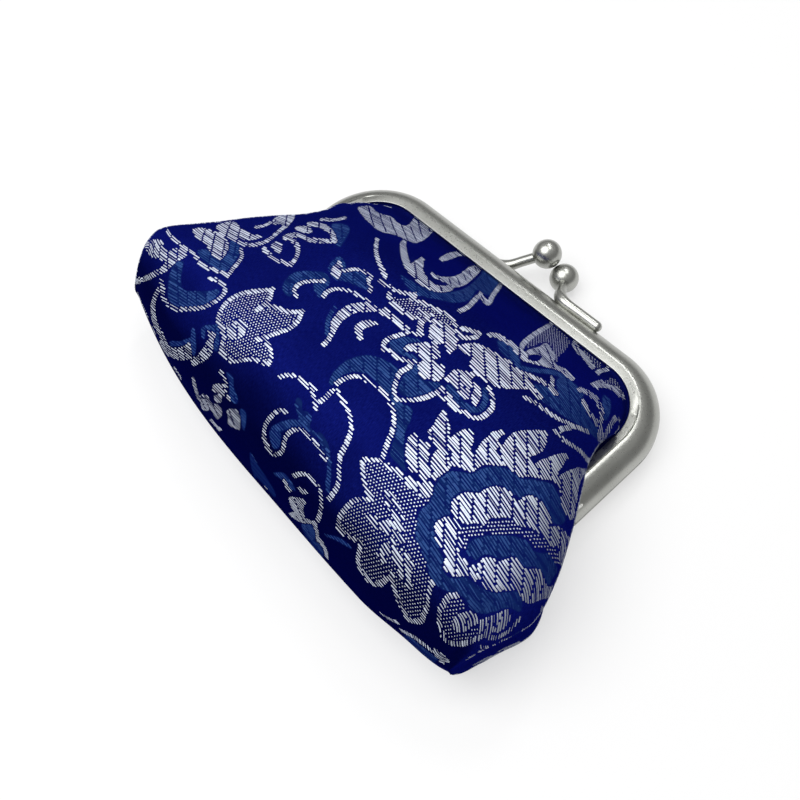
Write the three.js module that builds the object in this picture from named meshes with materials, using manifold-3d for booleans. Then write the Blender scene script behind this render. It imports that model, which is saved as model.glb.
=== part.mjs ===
// A kiss-lock coin purse of brocade, lying on its back, in millimetres with +Z up.
// Working frame: X across the purse, Y from its bottom towards the frame, Z out of its front face.
// Its zero is the middle of the frame's top edge, on the plane where the two half-frames part.
import * as THREE from "three";
import { mergeVertices } from "three/addons/utils/BufferGeometryUtils.js";
import Module from "manifold-3d";

const wasm = await Module();
wasm.setup();

const { lerp, smoothstep, clamp, degToRad } = THREE.MathUtils;

// Half-frame: a pressed channel bent into a U, open towards the cloth.
const FRAME_WIDTH = 85;
const CORNER_RADIUS = 15.3;
const FACE_HEIGHT = 5.6;
const LIP_HEIGHT = 1.8;
const LEG_END = 31;
const PARTING_GAP = 0.15;
const HALF_THICKNESS = 3.95;
const LIP_FACE = 3.8;
const BEAD_WALL = 0.5;
const BEAD_CENTRE = { out: 2.2, up: 0.4 };
const BEAD_STEPS = 9;
const BEAD_START_DEGREES = 96;
const CHANNEL_FLOOR = 0.7;
const INNER_WALL_EDGE = 0.3;
const CREASE_DEPTH = 0.2;
const CORNER_STEPS = 9;

// Hinge: an outer ear on one leg and an inner ear on the other, with a rivet through each pair.
const HINGE_DOWN = 34.2;
const EAR_RADIUS = 2.6;
const EAR_THICKNESS = 1.1;
const EAR_ROOT = 2.5;
const OUTER_EAR = { face: 40.6, neckTop: 2.6 };
const INNER_EAR = { face: 39.1, neckTop: 3.6 };
const RIVET_RADIUS = 0.9;
const RIVET_HEAD_RADIUS = 1.7;
const RIVET_HEAD_FLAT = 1.2;
const RIVET_HEAD_THICKNESS = 0.6;
const RIVET_SIDES = 12;
const EAR_ARC_STEPS = 10;
const FIT_GAP = 0.3;

// Clasp: a wire soldered along the top of each half, bent across the parting plane to a ball.
const BALL_RADIUS = 2.92;
const BALL_HEIGHT = 6.85;
const BALL_OFFSET = 1.75;
const WIRE_RADIUS = 1.05;
const WIRE_HEIGHT = 0.35;
const WIRE_OFFSET = 1.9;
const FRONT_CLASP = { ball: 4.8, foot: 9.4, end: 18.7 };
const BACK_CLASP = { ball: 0, foot: -6.2, end: -15.5 };
const ALONG_TOP = [0.5, 0.9];
const UP_TO_BALL = [0.12, 0.5, 1];
const WIRE_STEPS = 16;
const WIRE_ARC_STEPS = 4;
const BALL_SIDES = { around: 16, up: 10 };
const WIRE_END_SIDES = { around: 8, up: 6 };

// Cloth: its thickness, how its rim sits in the channel, its seams and the surface it lies on.
const CLOTH = 1.05;
const BACK_WADDING = 1.5;
const WADDING_FROM = { from: 9, to: 14 };
const WADDING_UNTIL = { from: 58, to: 64 };
const RIM_LEVEL = 3.15;
const RIM_LEVEL_AT_HINGE = 2.0;
const RIM_DEPTH = 2.4;
const RIM_DEPTH_AT_HINGE = 0.9;
const RIM_TAPER = { from: 20, to: 28 };
const LIP_CLEARANCE = 0.55;
const SHOULDER_INSET = 1.5;
const SEAM_TOP = 37.6;
const SEAM_RIDGE = 0.3;
const SEAM_SHOULDER = 1.6;
const FLOOR_LEVEL = -4.8;
const CROWN_ROUNDNESS = 2.35;
const BACK_ROUNDNESS = 5;
const LEFT_CORNER = { lift: 7, sharpness: 2.2, spread: 1.3 };
const RIGHT_CORNER = { lift: 3.4, sharpness: 9, spread: 0 };
const CURL_DELAY = 1.5;

// Sections of the pouch. down: below the frame's top edge, along the middle of the purse;
// front and back: heights of the two faces there; wide and wideAt: where the front swells furthest.
const SECTIONS = [
  { down: 3.2, front: 3.15, back: -3.15, wide: 25, wideAt: 3.15 },
  { down: 5.9, front: 3.15, back: -3.15, wide: 25, wideAt: 3.15 },
  { down: 9, front: 6, back: -4.5, wide: 25, wideAt: 4.2 },
  { down: 14, front: 11.4, back: -5.2, wide: 36.2, wideAt: 5.6 },
  { down: 20, front: 17.2, back: -5.4, wide: 37.2, wideAt: 7.4 },
  { down: 25, front: 20, back: -5.4, wide: 38.9, wideAt: 8.6 },
  { down: 30, front: 21.3, back: -5.4, wide: 41.9, wideAt: 9.6 },
  { down: 36, front: 22, back: -5.4, wide: 45.4, wideAt: 10.4 },
  { down: 43, front: 22.3, back: -5.4, wide: 48.9, wideAt: 11 },
  { down: 51, front: 22, back: -5.4, wide: 51.8, wideAt: 11 },
  { down: 57, front: 20, back: -5.4, wide: 51.9, wideAt: 10.6 },
  { down: 61.5, front: 16.6, back: -5.2, wide: 50.1, wideAt: 9.4 },
  { down: 64.5, front: 12.2, back: -3.6, wide: 48.6, wideAt: 7.4 },
  { down: 66, front: 7.9, back: -0.6, wide: 47.2, wideAt: 6.2 },
  { down: 66.5, front: 5.0, back: 2.4, wide: 46.4, wideAt: 5.5 },
];

// Side seam below the hinge: its half-width and its height over the parting plane.
const SEAM = [
  { down: 37.6, half: 37.2, height: 0 },
  { down: 40, half: 43.4, height: 0.6 },
  { down: 43, half: 46.9, height: 1.2 },
  { down: 47, half: 49.4, height: 1.8 },
  { down: 51, half: 50.7, height: 2.4 },
  { down: 57, half: 50.8, height: 3 },
  { down: 61.5, half: 49.3, height: 3.2 },
  { down: 64.5, half: 47.9, height: 3.4 },
  { down: 66.5, half: 46, height: 3.4 },
];

// Soft dents of the front, each an oval hollow: its middle, its half-sizes and its depth.
const DENTS = [
  { across: -31, down: 58, width: 9, length: 5, depth: 1.3 },
  { across: -3, down: 60, width: 8, length: 4.5, depth: 1.2 },
  { across: 17, down: 57, width: 6, length: 7, depth: 1.5 },
  { across: 30, down: 54, width: 5, length: 8, depth: 1.0 },
  { across: -14, down: 24, width: 10, length: 7, depth: 0.9 },
  { across: 26, down: 27, width: 9, length: 6, depth: 1.1 },
  { across: -37, down: 37, width: 12, length: 16, depth: 1.4 },
];

// Depths at which the pouch's rows run, and the steps of a row from its middle to its rim.
const ROWS = [
  3.25, 4.5, 5.9, 7.4, 9, 11.5, 14, 17, 20, 23, 26, 28.5, 31, 33.5, 36, 37.6, 39, 41, 43.5, 46.5, 50, 53.5,
  57, 60, 62.5, 64.5, 65.8, 66.5,
];
const CROWN_STEPS = 8;
const CURL_STEPS = 3;
const MARGIN_STEPS = 2;

const NICKEL = { color: 0xa9aaa2, roughness: 0.35, metalness: 1 };
const BROCADE = { color: 0x0d1478, roughness: 0.5, metalness: 0 };

const HALF_WIDTH = FRAME_WIDTH / 2;
const STRAIGHT_HALF = HALF_WIDTH - CORNER_RADIUS;
const LIP_HALF_WIDTH = HALF_WIDTH - FACE_HEIGHT;
const LIP_RADIUS = CORNER_RADIUS - FACE_HEIGHT;
const BEAD = { across: FACE_HEIGHT - BEAD_CENTRE.out, rise: HALF_THICKNESS - BEAD_CENTRE.up };
const CHANNEL = { across: BEAD.across - BEAD_WALL, rise: BEAD.rise - BEAD_WALL };
const LAST_ROW = ROWS[ROWS.length - 1];

// Solid of a closed geometry, for joining.
function solidOf(geometry) {
  const bare = geometry.clone();
  bare.deleteAttribute("normal");
  bare.deleteAttribute("uv");
  const merged = mergeVertices(bare, 1e-4);
  const mesh = new wasm.Mesh({
    numProp: 3,
    vertProperties: merged.attributes.position.array,
    triVerts: new Uint32Array(merged.index.array),
  });
  return new wasm.Manifold(mesh);
}

function geometryOf(solid) {
  const mesh = solid.getMesh();
  const geometry = new THREE.BufferGeometry();
  geometry.setAttribute("position", new THREE.BufferAttribute(mesh.vertProperties, 3));
  geometry.setIndex(new THREE.BufferAttribute(mesh.triVerts, 1));
  geometry.computeVertexNormals();
  return geometry;
}

// Stations along the inner edge of the U, from the left leg's end over the top to the right leg's end.
function framePath() {
  const stations = [];
  const addStation = (x, y, angle) => {
    const outward = new THREE.Vector2(Math.cos(angle), Math.sin(angle));
    stations.push({ point: new THREE.Vector2(x, y), outward });
  };
  const addCorner = (side, startAngle, endAngle) => {
    for (let step = 0; step <= CORNER_STEPS; step += 1) {
      const angle = lerp(startAngle, endAngle, step / CORNER_STEPS);
      const x = side * STRAIGHT_HALF + LIP_RADIUS * Math.cos(angle);
      addStation(x, -CORNER_RADIUS + LIP_RADIUS * Math.sin(angle), angle);
    }
  };
  addStation(-LIP_HALF_WIDTH, -LEG_END, Math.PI);
  addCorner(-1, Math.PI, Math.PI / 2);
  addCorner(1, Math.PI / 2, 0);
  addStation(LIP_HALF_WIDTH, -LEG_END, 0);
  return stations;
}

// Outline of the pressed channel: x is the distance outward from the lip's edge, y the height.
function channelSection() {
  const outline = [];
  const addPoint = (x, y) => outline.push(new THREE.Vector2(x, y));
  const addArc = ({ across, rise }, start, end, steps) => {
    for (let step = 0; step <= steps; step += 1) {
      const angle = lerp(start, end, step / steps);
      addPoint(BEAD_CENTRE.out + across * Math.cos(angle), BEAD_CENTRE.up + rise * Math.sin(angle));
    }
  };
  const angleAt = (height, { rise }) => Math.asin((height - BEAD_CENTRE.up) / rise);
  addPoint(0, BEAD_CENTRE.up + CHANNEL.rise);
  addPoint(0, LIP_FACE);
  addPoint(LIP_HEIGHT - CREASE_DEPTH, LIP_FACE);
  addPoint(LIP_HEIGHT, LIP_FACE - CREASE_DEPTH);
  addArc(BEAD, degToRad(BEAD_START_DEGREES), angleAt(PARTING_GAP, BEAD), BEAD_STEPS);
  addPoint(INNER_WALL_EDGE, PARTING_GAP);
  addPoint(INNER_WALL_EDGE, CHANNEL_FLOOR);
  addArc(CHANNEL, angleAt(CHANNEL_FLOOR, CHANNEL), Math.PI / 2, BEAD_STEPS);
  return outline.reverse();
}

// Sweep of a closed section along the frame's path, with flat ends.
function sweep(stations, section) {
  const count = section.length;
  const positions = [];
  for (const { point, outward } of stations) {
    for (const { x, y } of section) {
      positions.push(point.x + x * outward.x, point.y + x * outward.y, y);
    }
  }
  const triangles = [];
  for (let s = 0; s + 1 < stations.length; s += 1) {
    for (let i = 0; i < count; i += 1) {
      const a = s * count + i;
      const b = s * count + ((i + 1) % count);
      triangles.push(a, b, a + count, b, b + count, a + count);
    }
  }
  const last = (stations.length - 1) * count;
  for (const [a, b, c] of THREE.ShapeUtils.triangulateShape(section, [])) {
    triangles.push(a, c, b, last + a, last + b, last + c);
  }
  const geometry = new THREE.BufferGeometry();
  geometry.setAttribute("position", new THREE.Float32BufferAttribute(positions, 3));
  geometry.setIndex(triangles);
  return geometry;
}

// Hinge ear of the half whose metal lies above the parting plane: a disc with a neck up into the leg.
function ear(side, { face, neckTop }) {
  const neckBottom = PARTING_GAP + FIT_GAP;
  const shape = new THREE.Shape();
  shape.moveTo(-LEG_END + EAR_ROOT, neckBottom);
  shape.lineTo(-LEG_END + EAR_ROOT, neckTop);
  shape.lineTo(-LEG_END - FIT_GAP, neckTop);
  shape.lineTo(-HINGE_DOWN, EAR_RADIUS);
  shape.absarc(-HINGE_DOWN, 0, EAR_RADIUS, Math.PI / 2, Math.PI * 2, false);
  shape.lineTo(-HINGE_DOWN + EAR_RADIUS, neckBottom);
  const hole = new THREE.Path();
  hole.absarc(-HINGE_DOWN, 0, RIVET_RADIUS + FIT_GAP, 0, Math.PI * 2, true);
  shape.holes.push(hole);
  const sheet = { depth: EAR_THICKNESS, bevelEnabled: false, curveSegments: EAR_ARC_STEPS };
  const plate = new THREE.ExtrudeGeometry(shape, sheet);
  // The shape's x becomes Y and its y becomes Z, so the plate's depth runs along X.
  const turn = new THREE.Matrix4().makeBasis(
    new THREE.Vector3(0, 1, 0),
    new THREE.Vector3(0, 0, 1),
    new THREE.Vector3(1, 0, 0),
  );
  plate.applyMatrix4(turn);
  plate.translate(side > 0 ? face : -face - EAR_THICKNESS, 0, 0);
  return plate;
}

// Clasp arm: a wire along the half's top, bent up across the parting plane, with a ball on its end.
function claspArm({ ball, foot, end }, face) {
  const tip = new THREE.Vector3(ball, BALL_HEIGHT, -face * BALL_OFFSET);
  const bend = new THREE.Vector3(foot, WIRE_HEIGHT, face * WIRE_OFFSET);
  const start = new THREE.Vector3(end, WIRE_HEIGHT, face * WIRE_OFFSET);
  const points = [start];
  for (const part of ALONG_TOP) {
    points.push(start.clone().lerp(bend, part));
  }
  for (const part of UP_TO_BALL) {
    points.push(bend.clone().lerp(tip, part));
  }
  const path = new THREE.CatmullRomCurve3(points, false, "centripetal");
  const circle = new THREE.Shape().absarc(0, 0, WIRE_RADIUS, 0, Math.PI * 2, false);
  const bar = { steps: WIRE_STEPS, extrudePath: path, curveSegments: WIRE_ARC_STEPS };
  const wire = new THREE.ExtrudeGeometry(circle, bar);
  const knob = new THREE.SphereGeometry(BALL_RADIUS, BALL_SIDES.around, BALL_SIDES.up).translate(...tip);
  const tail = new THREE.SphereGeometry(WIRE_RADIUS, WIRE_END_SIDES.around, WIRE_END_SIDES.up);
  return solidOf(wire).add(solidOf(knob)).add(solidOf(tail.translate(...start)));
}

// One half-frame. face is 1 for the front half and -1 for the back half, which is the same pressing
// turned round about Y, so that each pair of ears has one outer and one inner ear.
function halfFrame(face, clasp) {
  const rail = solidOf(sweep(framePath(), channelSection()))
    .add(solidOf(ear(1, OUTER_EAR)))
    .add(solidOf(ear(-1, INNER_EAR)));
  const placed = face > 0 ? rail : rail.rotate([0, 180, 0]);
  return geometryOf(placed.add(claspArm(clasp, face)));
}

// Hinge rivet along X: a shank with a head inside the inner ear and a rounded one outside the outer ear.
function rivet(side) {
  const inside = INNER_EAR.face - FIT_GAP;
  const outside = OUTER_EAR.face + EAR_THICKNESS + FIT_GAP;
  const profile = [
    new THREE.Vector2(0, inside - RIVET_HEAD_THICKNESS),
    new THREE.Vector2(RIVET_HEAD_RADIUS, inside - RIVET_HEAD_THICKNESS),
    new THREE.Vector2(RIVET_HEAD_RADIUS, inside),
    new THREE.Vector2(RIVET_RADIUS, inside),
    new THREE.Vector2(RIVET_RADIUS, outside),
    new THREE.Vector2(RIVET_HEAD_RADIUS, outside),
    new THREE.Vector2(RIVET_HEAD_FLAT, outside + RIVET_HEAD_THICKNESS),
    new THREE.Vector2(0, outside + RIVET_HEAD_THICKNESS),
  ];
  const geometry = new THREE.LatheGeometry(profile, RIVET_SIDES);
  geometry.rotateZ((-side * Math.PI) / 2);
  geometry.translate(0, -HINGE_DOWN, 0);
  return geometry;
}

// A table read by its down column, as a smooth curve through its rows.
function smoothTable(rows, columns) {
  const downs = rows.map((row) => row.down);
  const values = rows.flatMap((row) => columns.map((column) => row[column]));
  const curve = new THREE.CubicInterpolant(downs, values, columns.length);
  return (down) => {
    const read = curve.evaluate(clamp(down, downs[0], downs[downs.length - 1]));
    return Object.fromEntries(columns.map((column, i) => [column, read[i]]));
  };
}

const sectionAt = smoothTable(SECTIONS, ["front", "back", "wide", "wideAt"]);
const seamAt = smoothTable(SEAM, ["half", "height"]);

// Half-width of the U's inner edge, moved outward by some distance, at a depth below the top edge.
function frameHalfWidth(down, outward) {
  const radius = LIP_RADIUS + outward;
  const above = Math.max(0, CORNER_RADIUS - down);
  return STRAIGHT_HALF + Math.sqrt(Math.max(0, radius * radius - above * above));
}

// Where a row of the pouch is held: in the channel above the hinge and along the side seam below it.
// hold: half-width where the cloth comes free; rim: half-width of its edge; the levels are heights
// of the two over the middle, upwards on the front face and downwards on the back face.
function heldAt(down) {
  if (down >= SEAM_TOP) {
    const { half, height } = seamAt(down);
    const rim = half - SEAM_RIDGE;
    return { hold: half, rim, holdLevel: SEAM_SHOULDER, rimLevel: SEAM_RIDGE, middle: height };
  }
  const depth = lerp(RIM_DEPTH, RIM_DEPTH_AT_HINGE, smoothstep(down, RIM_TAPER.from, RIM_TAPER.to));
  const level = lerp(RIM_LEVEL, RIM_LEVEL_AT_HINGE, smoothstep(down, LEG_END, SEAM_TOP));
  const hold = frameHalfWidth(down, -LIP_CLEARANCE);
  return { hold, rim: frameHalfWidth(down, depth), holdLevel: level, rimLevel: level, middle: 0 };
}

function dentDepth(x, down) {
  let depth = 0;
  for (const dent of DENTS) {
    const sideways = (x - dent.across) / dent.width;
    const along = (down - dent.down) / dent.length;
    depth += dent.depth * Math.exp(-sideways * sideways - along * along);
  }
  return depth;
}

// Last stretch of a half section, from where the cloth is held to its rim: [distance across, height].
function marginPoints({ hold, rim, holdLevel, rimLevel, middle }, face) {
  const points = [];
  for (let step = 1; step <= MARGIN_STEPS; step += 1) {
    const part = step / MARGIN_STEPS;
    points.push([lerp(hold, rim, part), middle + face * lerp(holdLevel, rimLevel, part)]);
  }
  return points;
}

// Half of a front section, from the middle of the crown over its widest line to the rim.
function frontHalf(down, side) {
  const { front, wide, wideAt } = sectionAt(down);
  const held = heldAt(down);
  const inset = SHOULDER_INSET * (1 - smoothstep(down, FACE_HEIGHT, CORNER_RADIUS));
  const widest = Math.max(wide, held.hold - inset);
  const points = [];
  for (let step = 0; step <= CROWN_STEPS; step += 1) {
    const angle = (Math.PI / 2) * (1 - step / CROWN_STEPS);
    const x = widest * Math.max(0, Math.cos(angle)) ** (2 / CROWN_ROUNDNESS);
    const rise = Math.sin(angle) ** (2 / CROWN_ROUNDNESS);
    points.push([x, wideAt + (front - wideAt - dentDepth(side * x, down)) * rise]);
  }
  for (let step = CURL_STEPS - 1; step >= 0; step -= 1) {
    const part = step / CURL_STEPS;
    const x = lerp(held.hold, widest, smoothstep(part ** CURL_DELAY, 0, 1));
    points.push([step ? x : held.hold, lerp(held.middle + held.holdLevel, wideAt, part)]);
  }
  return [...points, ...marginPoints(held, 1)];
}

// Half of a back section, from the middle to the rim, pressed flat where it lies on the surface.
function backHalf(down) {
  const { back } = sectionAt(down);
  const held = heldAt(down);
  const edge = held.middle - held.holdLevel;
  const steps = CROWN_STEPS + CURL_STEPS;
  const points = [];
  for (let step = 0; step <= steps; step += 1) {
    const angle = (Math.PI / 2) * (1 - step / steps);
    const x = held.hold * Math.max(0, Math.cos(angle)) ** (2 / BACK_ROUNDNESS);
    const drop = Math.sin(angle) ** (2 / BACK_ROUNDNESS);
    points.push([x, Math.max(FLOOR_LEVEL, edge + (back - edge) * drop)]);
  }
  return [...points, ...marginPoints(held, -1)];
}

// Whole row, right to left. Near the bottom corners its ends are lifted towards the frame and spread.
function rowPoints(down, halfOf) {
  const nearness = smoothstep(down, SEAM_TOP, LAST_ROW);
  const cornerHalf = seamAt(LAST_ROW).half;
  const place = (side, { lift, sharpness, spread }) => ([x, z]) => {
    const share = Math.min(1, x / cornerHalf);
    const across = x + spread * nearness * share;
    return new THREE.Vector3(side * across, -down + lift * nearness * share ** sharpness, z);
  };
  const right = halfOf(down, 1).map(place(1, RIGHT_CORNER));
  const left = halfOf(down, -1).map(place(-1, LEFT_CORNER));
  return [...right.reverse(), ...left.slice(1)];
}

// Wadding behind the cloth: none in the channel, along the seams or at the bottom fold.
function waddingShare(down, stepsFromRim) {
  const started = smoothstep(down, WADDING_FROM.from, WADDING_FROM.to);
  const ended = smoothstep(down, WADDING_UNTIL.from, WADDING_UNTIL.to);
  return started * (1 - ended) * smoothstep(stepsFromRim, MARGIN_STEPS, MARGIN_STEPS + CURL_STEPS);
}

// Inside of one face of the cloth: square through it in the channel, along its normal elsewhere.
function insideOf(rows, face, wadding) {
  const lastRow = rows.length - 1;
  const lastColumn = rows[0].length - 1;
  return rows.map((row, r) =>
    row.map((point, c) => {
      const stepsFromRim = Math.min(c, lastColumn - c);
      if (ROWS[r] < SEAM_TOP && stepsFromRim < MARGIN_STEPS) {
        return point.clone().setZ(point.z - face * CLOTH);
      }
      const along = rows[Math.min(r + 1, lastRow)][c].clone().sub(rows[Math.max(r - 1, 0)][c]);
      const across = row[Math.min(c + 1, lastColumn)].clone().sub(row[Math.max(c - 1, 0)]);
      const outward = across.cross(along).normalize().multiplyScalar(face);
      const thickness = CLOTH + wadding * waddingShare(ROWS[r], stepsFromRim);
      return point.clone().addScaledVector(outward, -thickness);
    }),
  );
}

// Closed wall of the bag, open at the mouth and along the frame, shut along the seams and the bottom.
// Each grid is rows of points from right to left.
function bagWall({ outerFront, innerFront, outerBack, innerBack }) {
  const grids = [outerFront, innerFront, outerBack, innerBack];
  const positions = grids.flat(2).flatMap((point) => point.toArray());
  const rows = outerFront.length;
  const columns = outerFront[0].length;
  const [frontOut, frontIn, backOut, backIn] = grids.map((_, g) => (r, c) => (g * rows + r) * columns + c);
  const triangles = [];
  const addQuad = (a, b, c, d) => triangles.push(a, b, d, b, c, d);
  // A strip between two edges of the wall, one quad for each step along them.
  const addStrip = (from, to, edgeA, edgeB) => {
    for (let i = from; i < to; i += 1) {
      addQuad(edgeA(i), edgeA(i + 1), edgeB(i + 1), edgeB(i));
    }
  };
  for (let r = 0; r + 1 < rows; r += 1) {
    addStrip(0, columns - 1, (c) => frontOut(r, c), (c) => frontOut(r + 1, c));
    addStrip(0, columns - 1, (c) => backIn(r, c), (c) => backIn(r + 1, c));
    addStrip(0, columns - 1, (c) => frontIn(r + 1, c), (c) => frontIn(r, c));
    addStrip(0, columns - 1, (c) => backOut(r + 1, c), (c) => backOut(r, c));
  }
  const bottom = rows - 1;
  addStrip(0, columns - 1, (c) => frontIn(0, c), (c) => frontOut(0, c));
  addStrip(0, columns - 1, (c) => backOut(0, c), (c) => backIn(0, c));
  addStrip(0, columns - 1, (c) => frontOut(bottom, c), (c) => backOut(bottom, c));
  addStrip(0, columns - 1, (c) => backIn(bottom, c), (c) => frontIn(bottom, c));
  const seamRow = ROWS.indexOf(SEAM_TOP);
  for (const side of [0, columns - 1]) {
    const edge = (corner) => (r) => corner(r, side);
    const pairs = [
      [0, seamRow, frontOut, frontIn],
      [0, seamRow, backIn, backOut],
      [seamRow, bottom, frontOut, backOut],
      [seamRow, bottom, backIn, frontIn],
    ];
    for (const [from, to, first, second] of pairs) {
      const [edgeA, edgeB] = side === 0 ? [first, second] : [second, first];
      addStrip(from, to, edge(edgeA), edge(edgeB));
    }
    const web = [frontOut, frontIn, backIn, backOut].map((corner) => corner(seamRow, side));
    addQuad(...(side === 0 ? web.reverse() : web));
  }
  const geometry = new THREE.BufferGeometry();
  geometry.setAttribute("position", new THREE.Float32BufferAttribute(positions, 3));
  geometry.setIndex(triangles);
  return geometry;
}

function pouch() {
  const outerFront = ROWS.map((down) => rowPoints(down, frontHalf));
  const outerBack = ROWS.map((down) => rowPoints(down, backHalf));
  const innerFront = insideOf(outerFront, 1, 0);
  const innerBack = insideOf(outerBack, -1, BACK_WADDING);
  return bagWall({ outerFront, innerFront, outerBack, innerBack });
}

const purse = new THREE.Group();

function addPiece(name, geometry, finish) {
  const mesh = new THREE.Mesh(geometry, new THREE.MeshStandardMaterial(finish));
  mesh.name = name;
  purse.add(mesh);
}

addPiece("front_frame", halfFrame(1, FRONT_CLASP), NICKEL);
addPiece("back_frame", halfFrame(-1, BACK_CLASP), NICKEL);
addPiece("rivet_left", rivet(-1), NICKEL);
addPiece("rivet_right", rivet(1), NICKEL);
addPiece("pouch", pouch(), BROCADE);

// The part's own zero is the middle of its box, on the surface that it lies on.
const box = new THREE.Box3().setFromObject(purse);
const middle = box.getCenter(new THREE.Vector3());
purse.position.set(-middle.x, -middle.y, -box.min.z);

const part = new THREE.Group();
part.add(purse);

export default part;
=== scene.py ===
import math

import bpy
import numpy as np
from mathutils import Matrix, Vector
from mathutils.geometry import tessellate_polygon


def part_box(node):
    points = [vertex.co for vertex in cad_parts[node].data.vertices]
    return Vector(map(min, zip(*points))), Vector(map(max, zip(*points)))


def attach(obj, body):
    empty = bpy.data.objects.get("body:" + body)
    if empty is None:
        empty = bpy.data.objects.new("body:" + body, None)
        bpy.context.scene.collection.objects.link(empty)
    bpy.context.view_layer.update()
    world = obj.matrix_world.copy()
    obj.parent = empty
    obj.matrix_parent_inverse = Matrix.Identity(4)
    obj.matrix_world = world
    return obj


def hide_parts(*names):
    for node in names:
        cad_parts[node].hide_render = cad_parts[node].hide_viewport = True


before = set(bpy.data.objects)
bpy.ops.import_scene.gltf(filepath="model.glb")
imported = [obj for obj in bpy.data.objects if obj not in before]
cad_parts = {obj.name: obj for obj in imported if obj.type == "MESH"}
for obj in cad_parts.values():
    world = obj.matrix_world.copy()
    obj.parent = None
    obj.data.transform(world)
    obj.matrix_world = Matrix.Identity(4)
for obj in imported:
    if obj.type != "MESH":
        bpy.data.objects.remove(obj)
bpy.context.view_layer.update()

MM = 0.001
TINY = 1e-9

# Half-frame, in millimetres: a pressed channel bent into a U, with a flat lip and a rounded bead.
HALF_WIDTH = 42.5
CORNER_RADIUS = 15.3
FACE_HEIGHT = 5.6
LIP_HEIGHT = 1.6
LEG_END = 31
PARTING_GAP = 0.15
HALF_THICKNESS = 3.95
LIP_FACE = 3.77
LIP_UNDERSIDE = 3.4
LIP_EDGE_RADIUS = 0.12
BEAD_CENTRE = (1.6, 0.4)
BEAD_WALL = 0.5
BEAD_ROUNDNESS = 1.65
# Crease between the lip and the bead, and how far down the frame it reaches its depth.
CREASE_WIDTH = 0.26
CREASE_DEPTH = 0.16
CREASE_FROM = (6, 14)
# The channel's inside, and the steps of the section and of the path.
CHANNEL_FLOOR = 0.7
INNER_WALL_EDGE = 0.3
CORNER_STEPS = 40
LIP_EDGE_STEPS = 4
BEAD_STEPS = 30
INNER_BEAD_STEPS = 8
LEG_STEPS = 12
TOP_STEPS = 30
SHARP_DEGREES = 38

# Hinge ears, in millimetres.
HINGE_DOWN = 34.2
EAR_RADIUS = 2.6
EAR_THICKNESS = 1.1
EAR_ROOT = 2.5
EAR_HOLE = 1.2
FIT_GAP = 0.3
EAR_STEPS = 28
HOLE_STEPS = 24
OUTER_EAR = {"face": 40.6, "neck_top": 2.6}
INNER_EAR = {"face": 39.1, "neck_top": 3.6}

# Clasp: a wire along the top of each half, bent across the parting plane to a ball.
BALL_RADIUS = 2.92
BALL_HEIGHT = 6.85
BALL_OFFSET = 1.75
WIRE_RADIUS = 1.05
WIRE_HEIGHT = 0.35
WIRE_OFFSET = 1.9
BEND_SWELL = 0.22
WIRE_RINGS = 60
WIRE_SIDES = 20
WIRE_END_RINGS = 10
BALL_RINGS = 33
BALL_SIDES = 56
PATH_STEPS = 20
# Points of the wire as shares of its way to the bend, and from there to the ball.
WIRE_POINTS = (0, 0.5, 0.9)
ARM_POINTS = (0.12, 0.5, 1)
# Towards the side at which the rings of a ball or of a wire's end start.
BALL_SIDEWAYS = (0.3, 0.2, 0.93)
FRONT_CLASP = {"ball": 4.8, "foot": 9.4, "end": 18.7}
BACK_CLASP = {"ball": 0.0, "foot": -6.2, "end": -15.5}

# Cloth, in millimetres: how its rim sits in the channel, its seams and the surface it lies on.
RIM_LEVEL = 3.15
RIM_LEVEL_AT_HINGE = 2.0
RIM_DEPTH = 2.4
RIM_DEPTH_AT_HINGE = 0.9
RIM_TAPER = (20, 28)
LIP_CLEARANCE = 0.55
SHOULDER_INSET = 1.5
SEAM_TOP = 37.6
SEAM_RIDGE = 0.3
SEAM_SHOULDER = 1.6
FLOOR_LEVEL = -4.8
# Roundness of the front and the back, and the front's curl under to the frame or the seam.
CROWN_ROUNDNESS = 2.35
BACK_ROUNDNESS = 5
CURL_DELAY = 1.5
# Bottom corners, the sag of the bottom's edge between them, and the drawn left side.
CORNER_HALF = 46
LEFT_CORNER = {"lift": 7, "sharpness": 2.2, "spread": 3.6}
RIGHT_CORNER = {"lift": 1.4, "sharpness": 14, "spread": 0}
BOTTOM_SAG = 0.6
SAG_RETURN = 1.7
SAG_START = (-10, 26)
SAG_END = (28, 40)
LEFT_DRAW = {"down": 30, "length": 13, "depth": 0.9}
# Grid of the cloth: its rows and columns, its fold at the bottom and the samples it is worked out from.
FIRST_ROW = 3.25
LAST_ROW = 65.4
POUCH_END = 66.5
GRID_STEP = 0.5
HALF_COLUMNS = 120
MARGIN_COLUMNS = 3
BOTTOM_ROWS = 3
BOTTOM_BULGE = 0.3
BULGE_SHARPNESS = 6
CROWN_STEPS = 120
CURL_STEPS = 40
BACK_STEPS = 160
DEPTH_STEPS = 3000
UV_SCALE = 0.01

# down, front, back, wide, wide_at
FRONT, BACK, WIDE, WIDE_AT = range(1, 5)
SECTIONS = np.array([
    (3.2, 3.15, -3.15, 25, 3.15),
    (5.9, 3.15, -3.15, 25, 3.15),
    (9, 6.0, -4.5, 25, 4.2),
    (14, 11.4, -5.2, 36.2, 5.6),
    (20, 17.2, -5.4, 37.2, 7.4),
    (25, 20.0, -5.4, 38.9, 8.6),
    (30, 21.3, -5.4, 41.9, 9.6),
    (36, 22.0, -5.4, 45.4, 10.4),
    (43, 22.3, -5.4, 48.9, 11),
    (51, 22, -5.4, 51.2, 11),
    (56.6, 20, -5.4, 50.2, 10.6),
    (60.8, 16.6, -5.2, 48.6, 9.4),
    (63.6, 12.2, -3.6, 47.6, 7.4),
    (65, 7.9, -0.6, 47.0, 6.2),
    (65.4, 5.0, 2.4, 46.8, 5.5),
])
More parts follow.
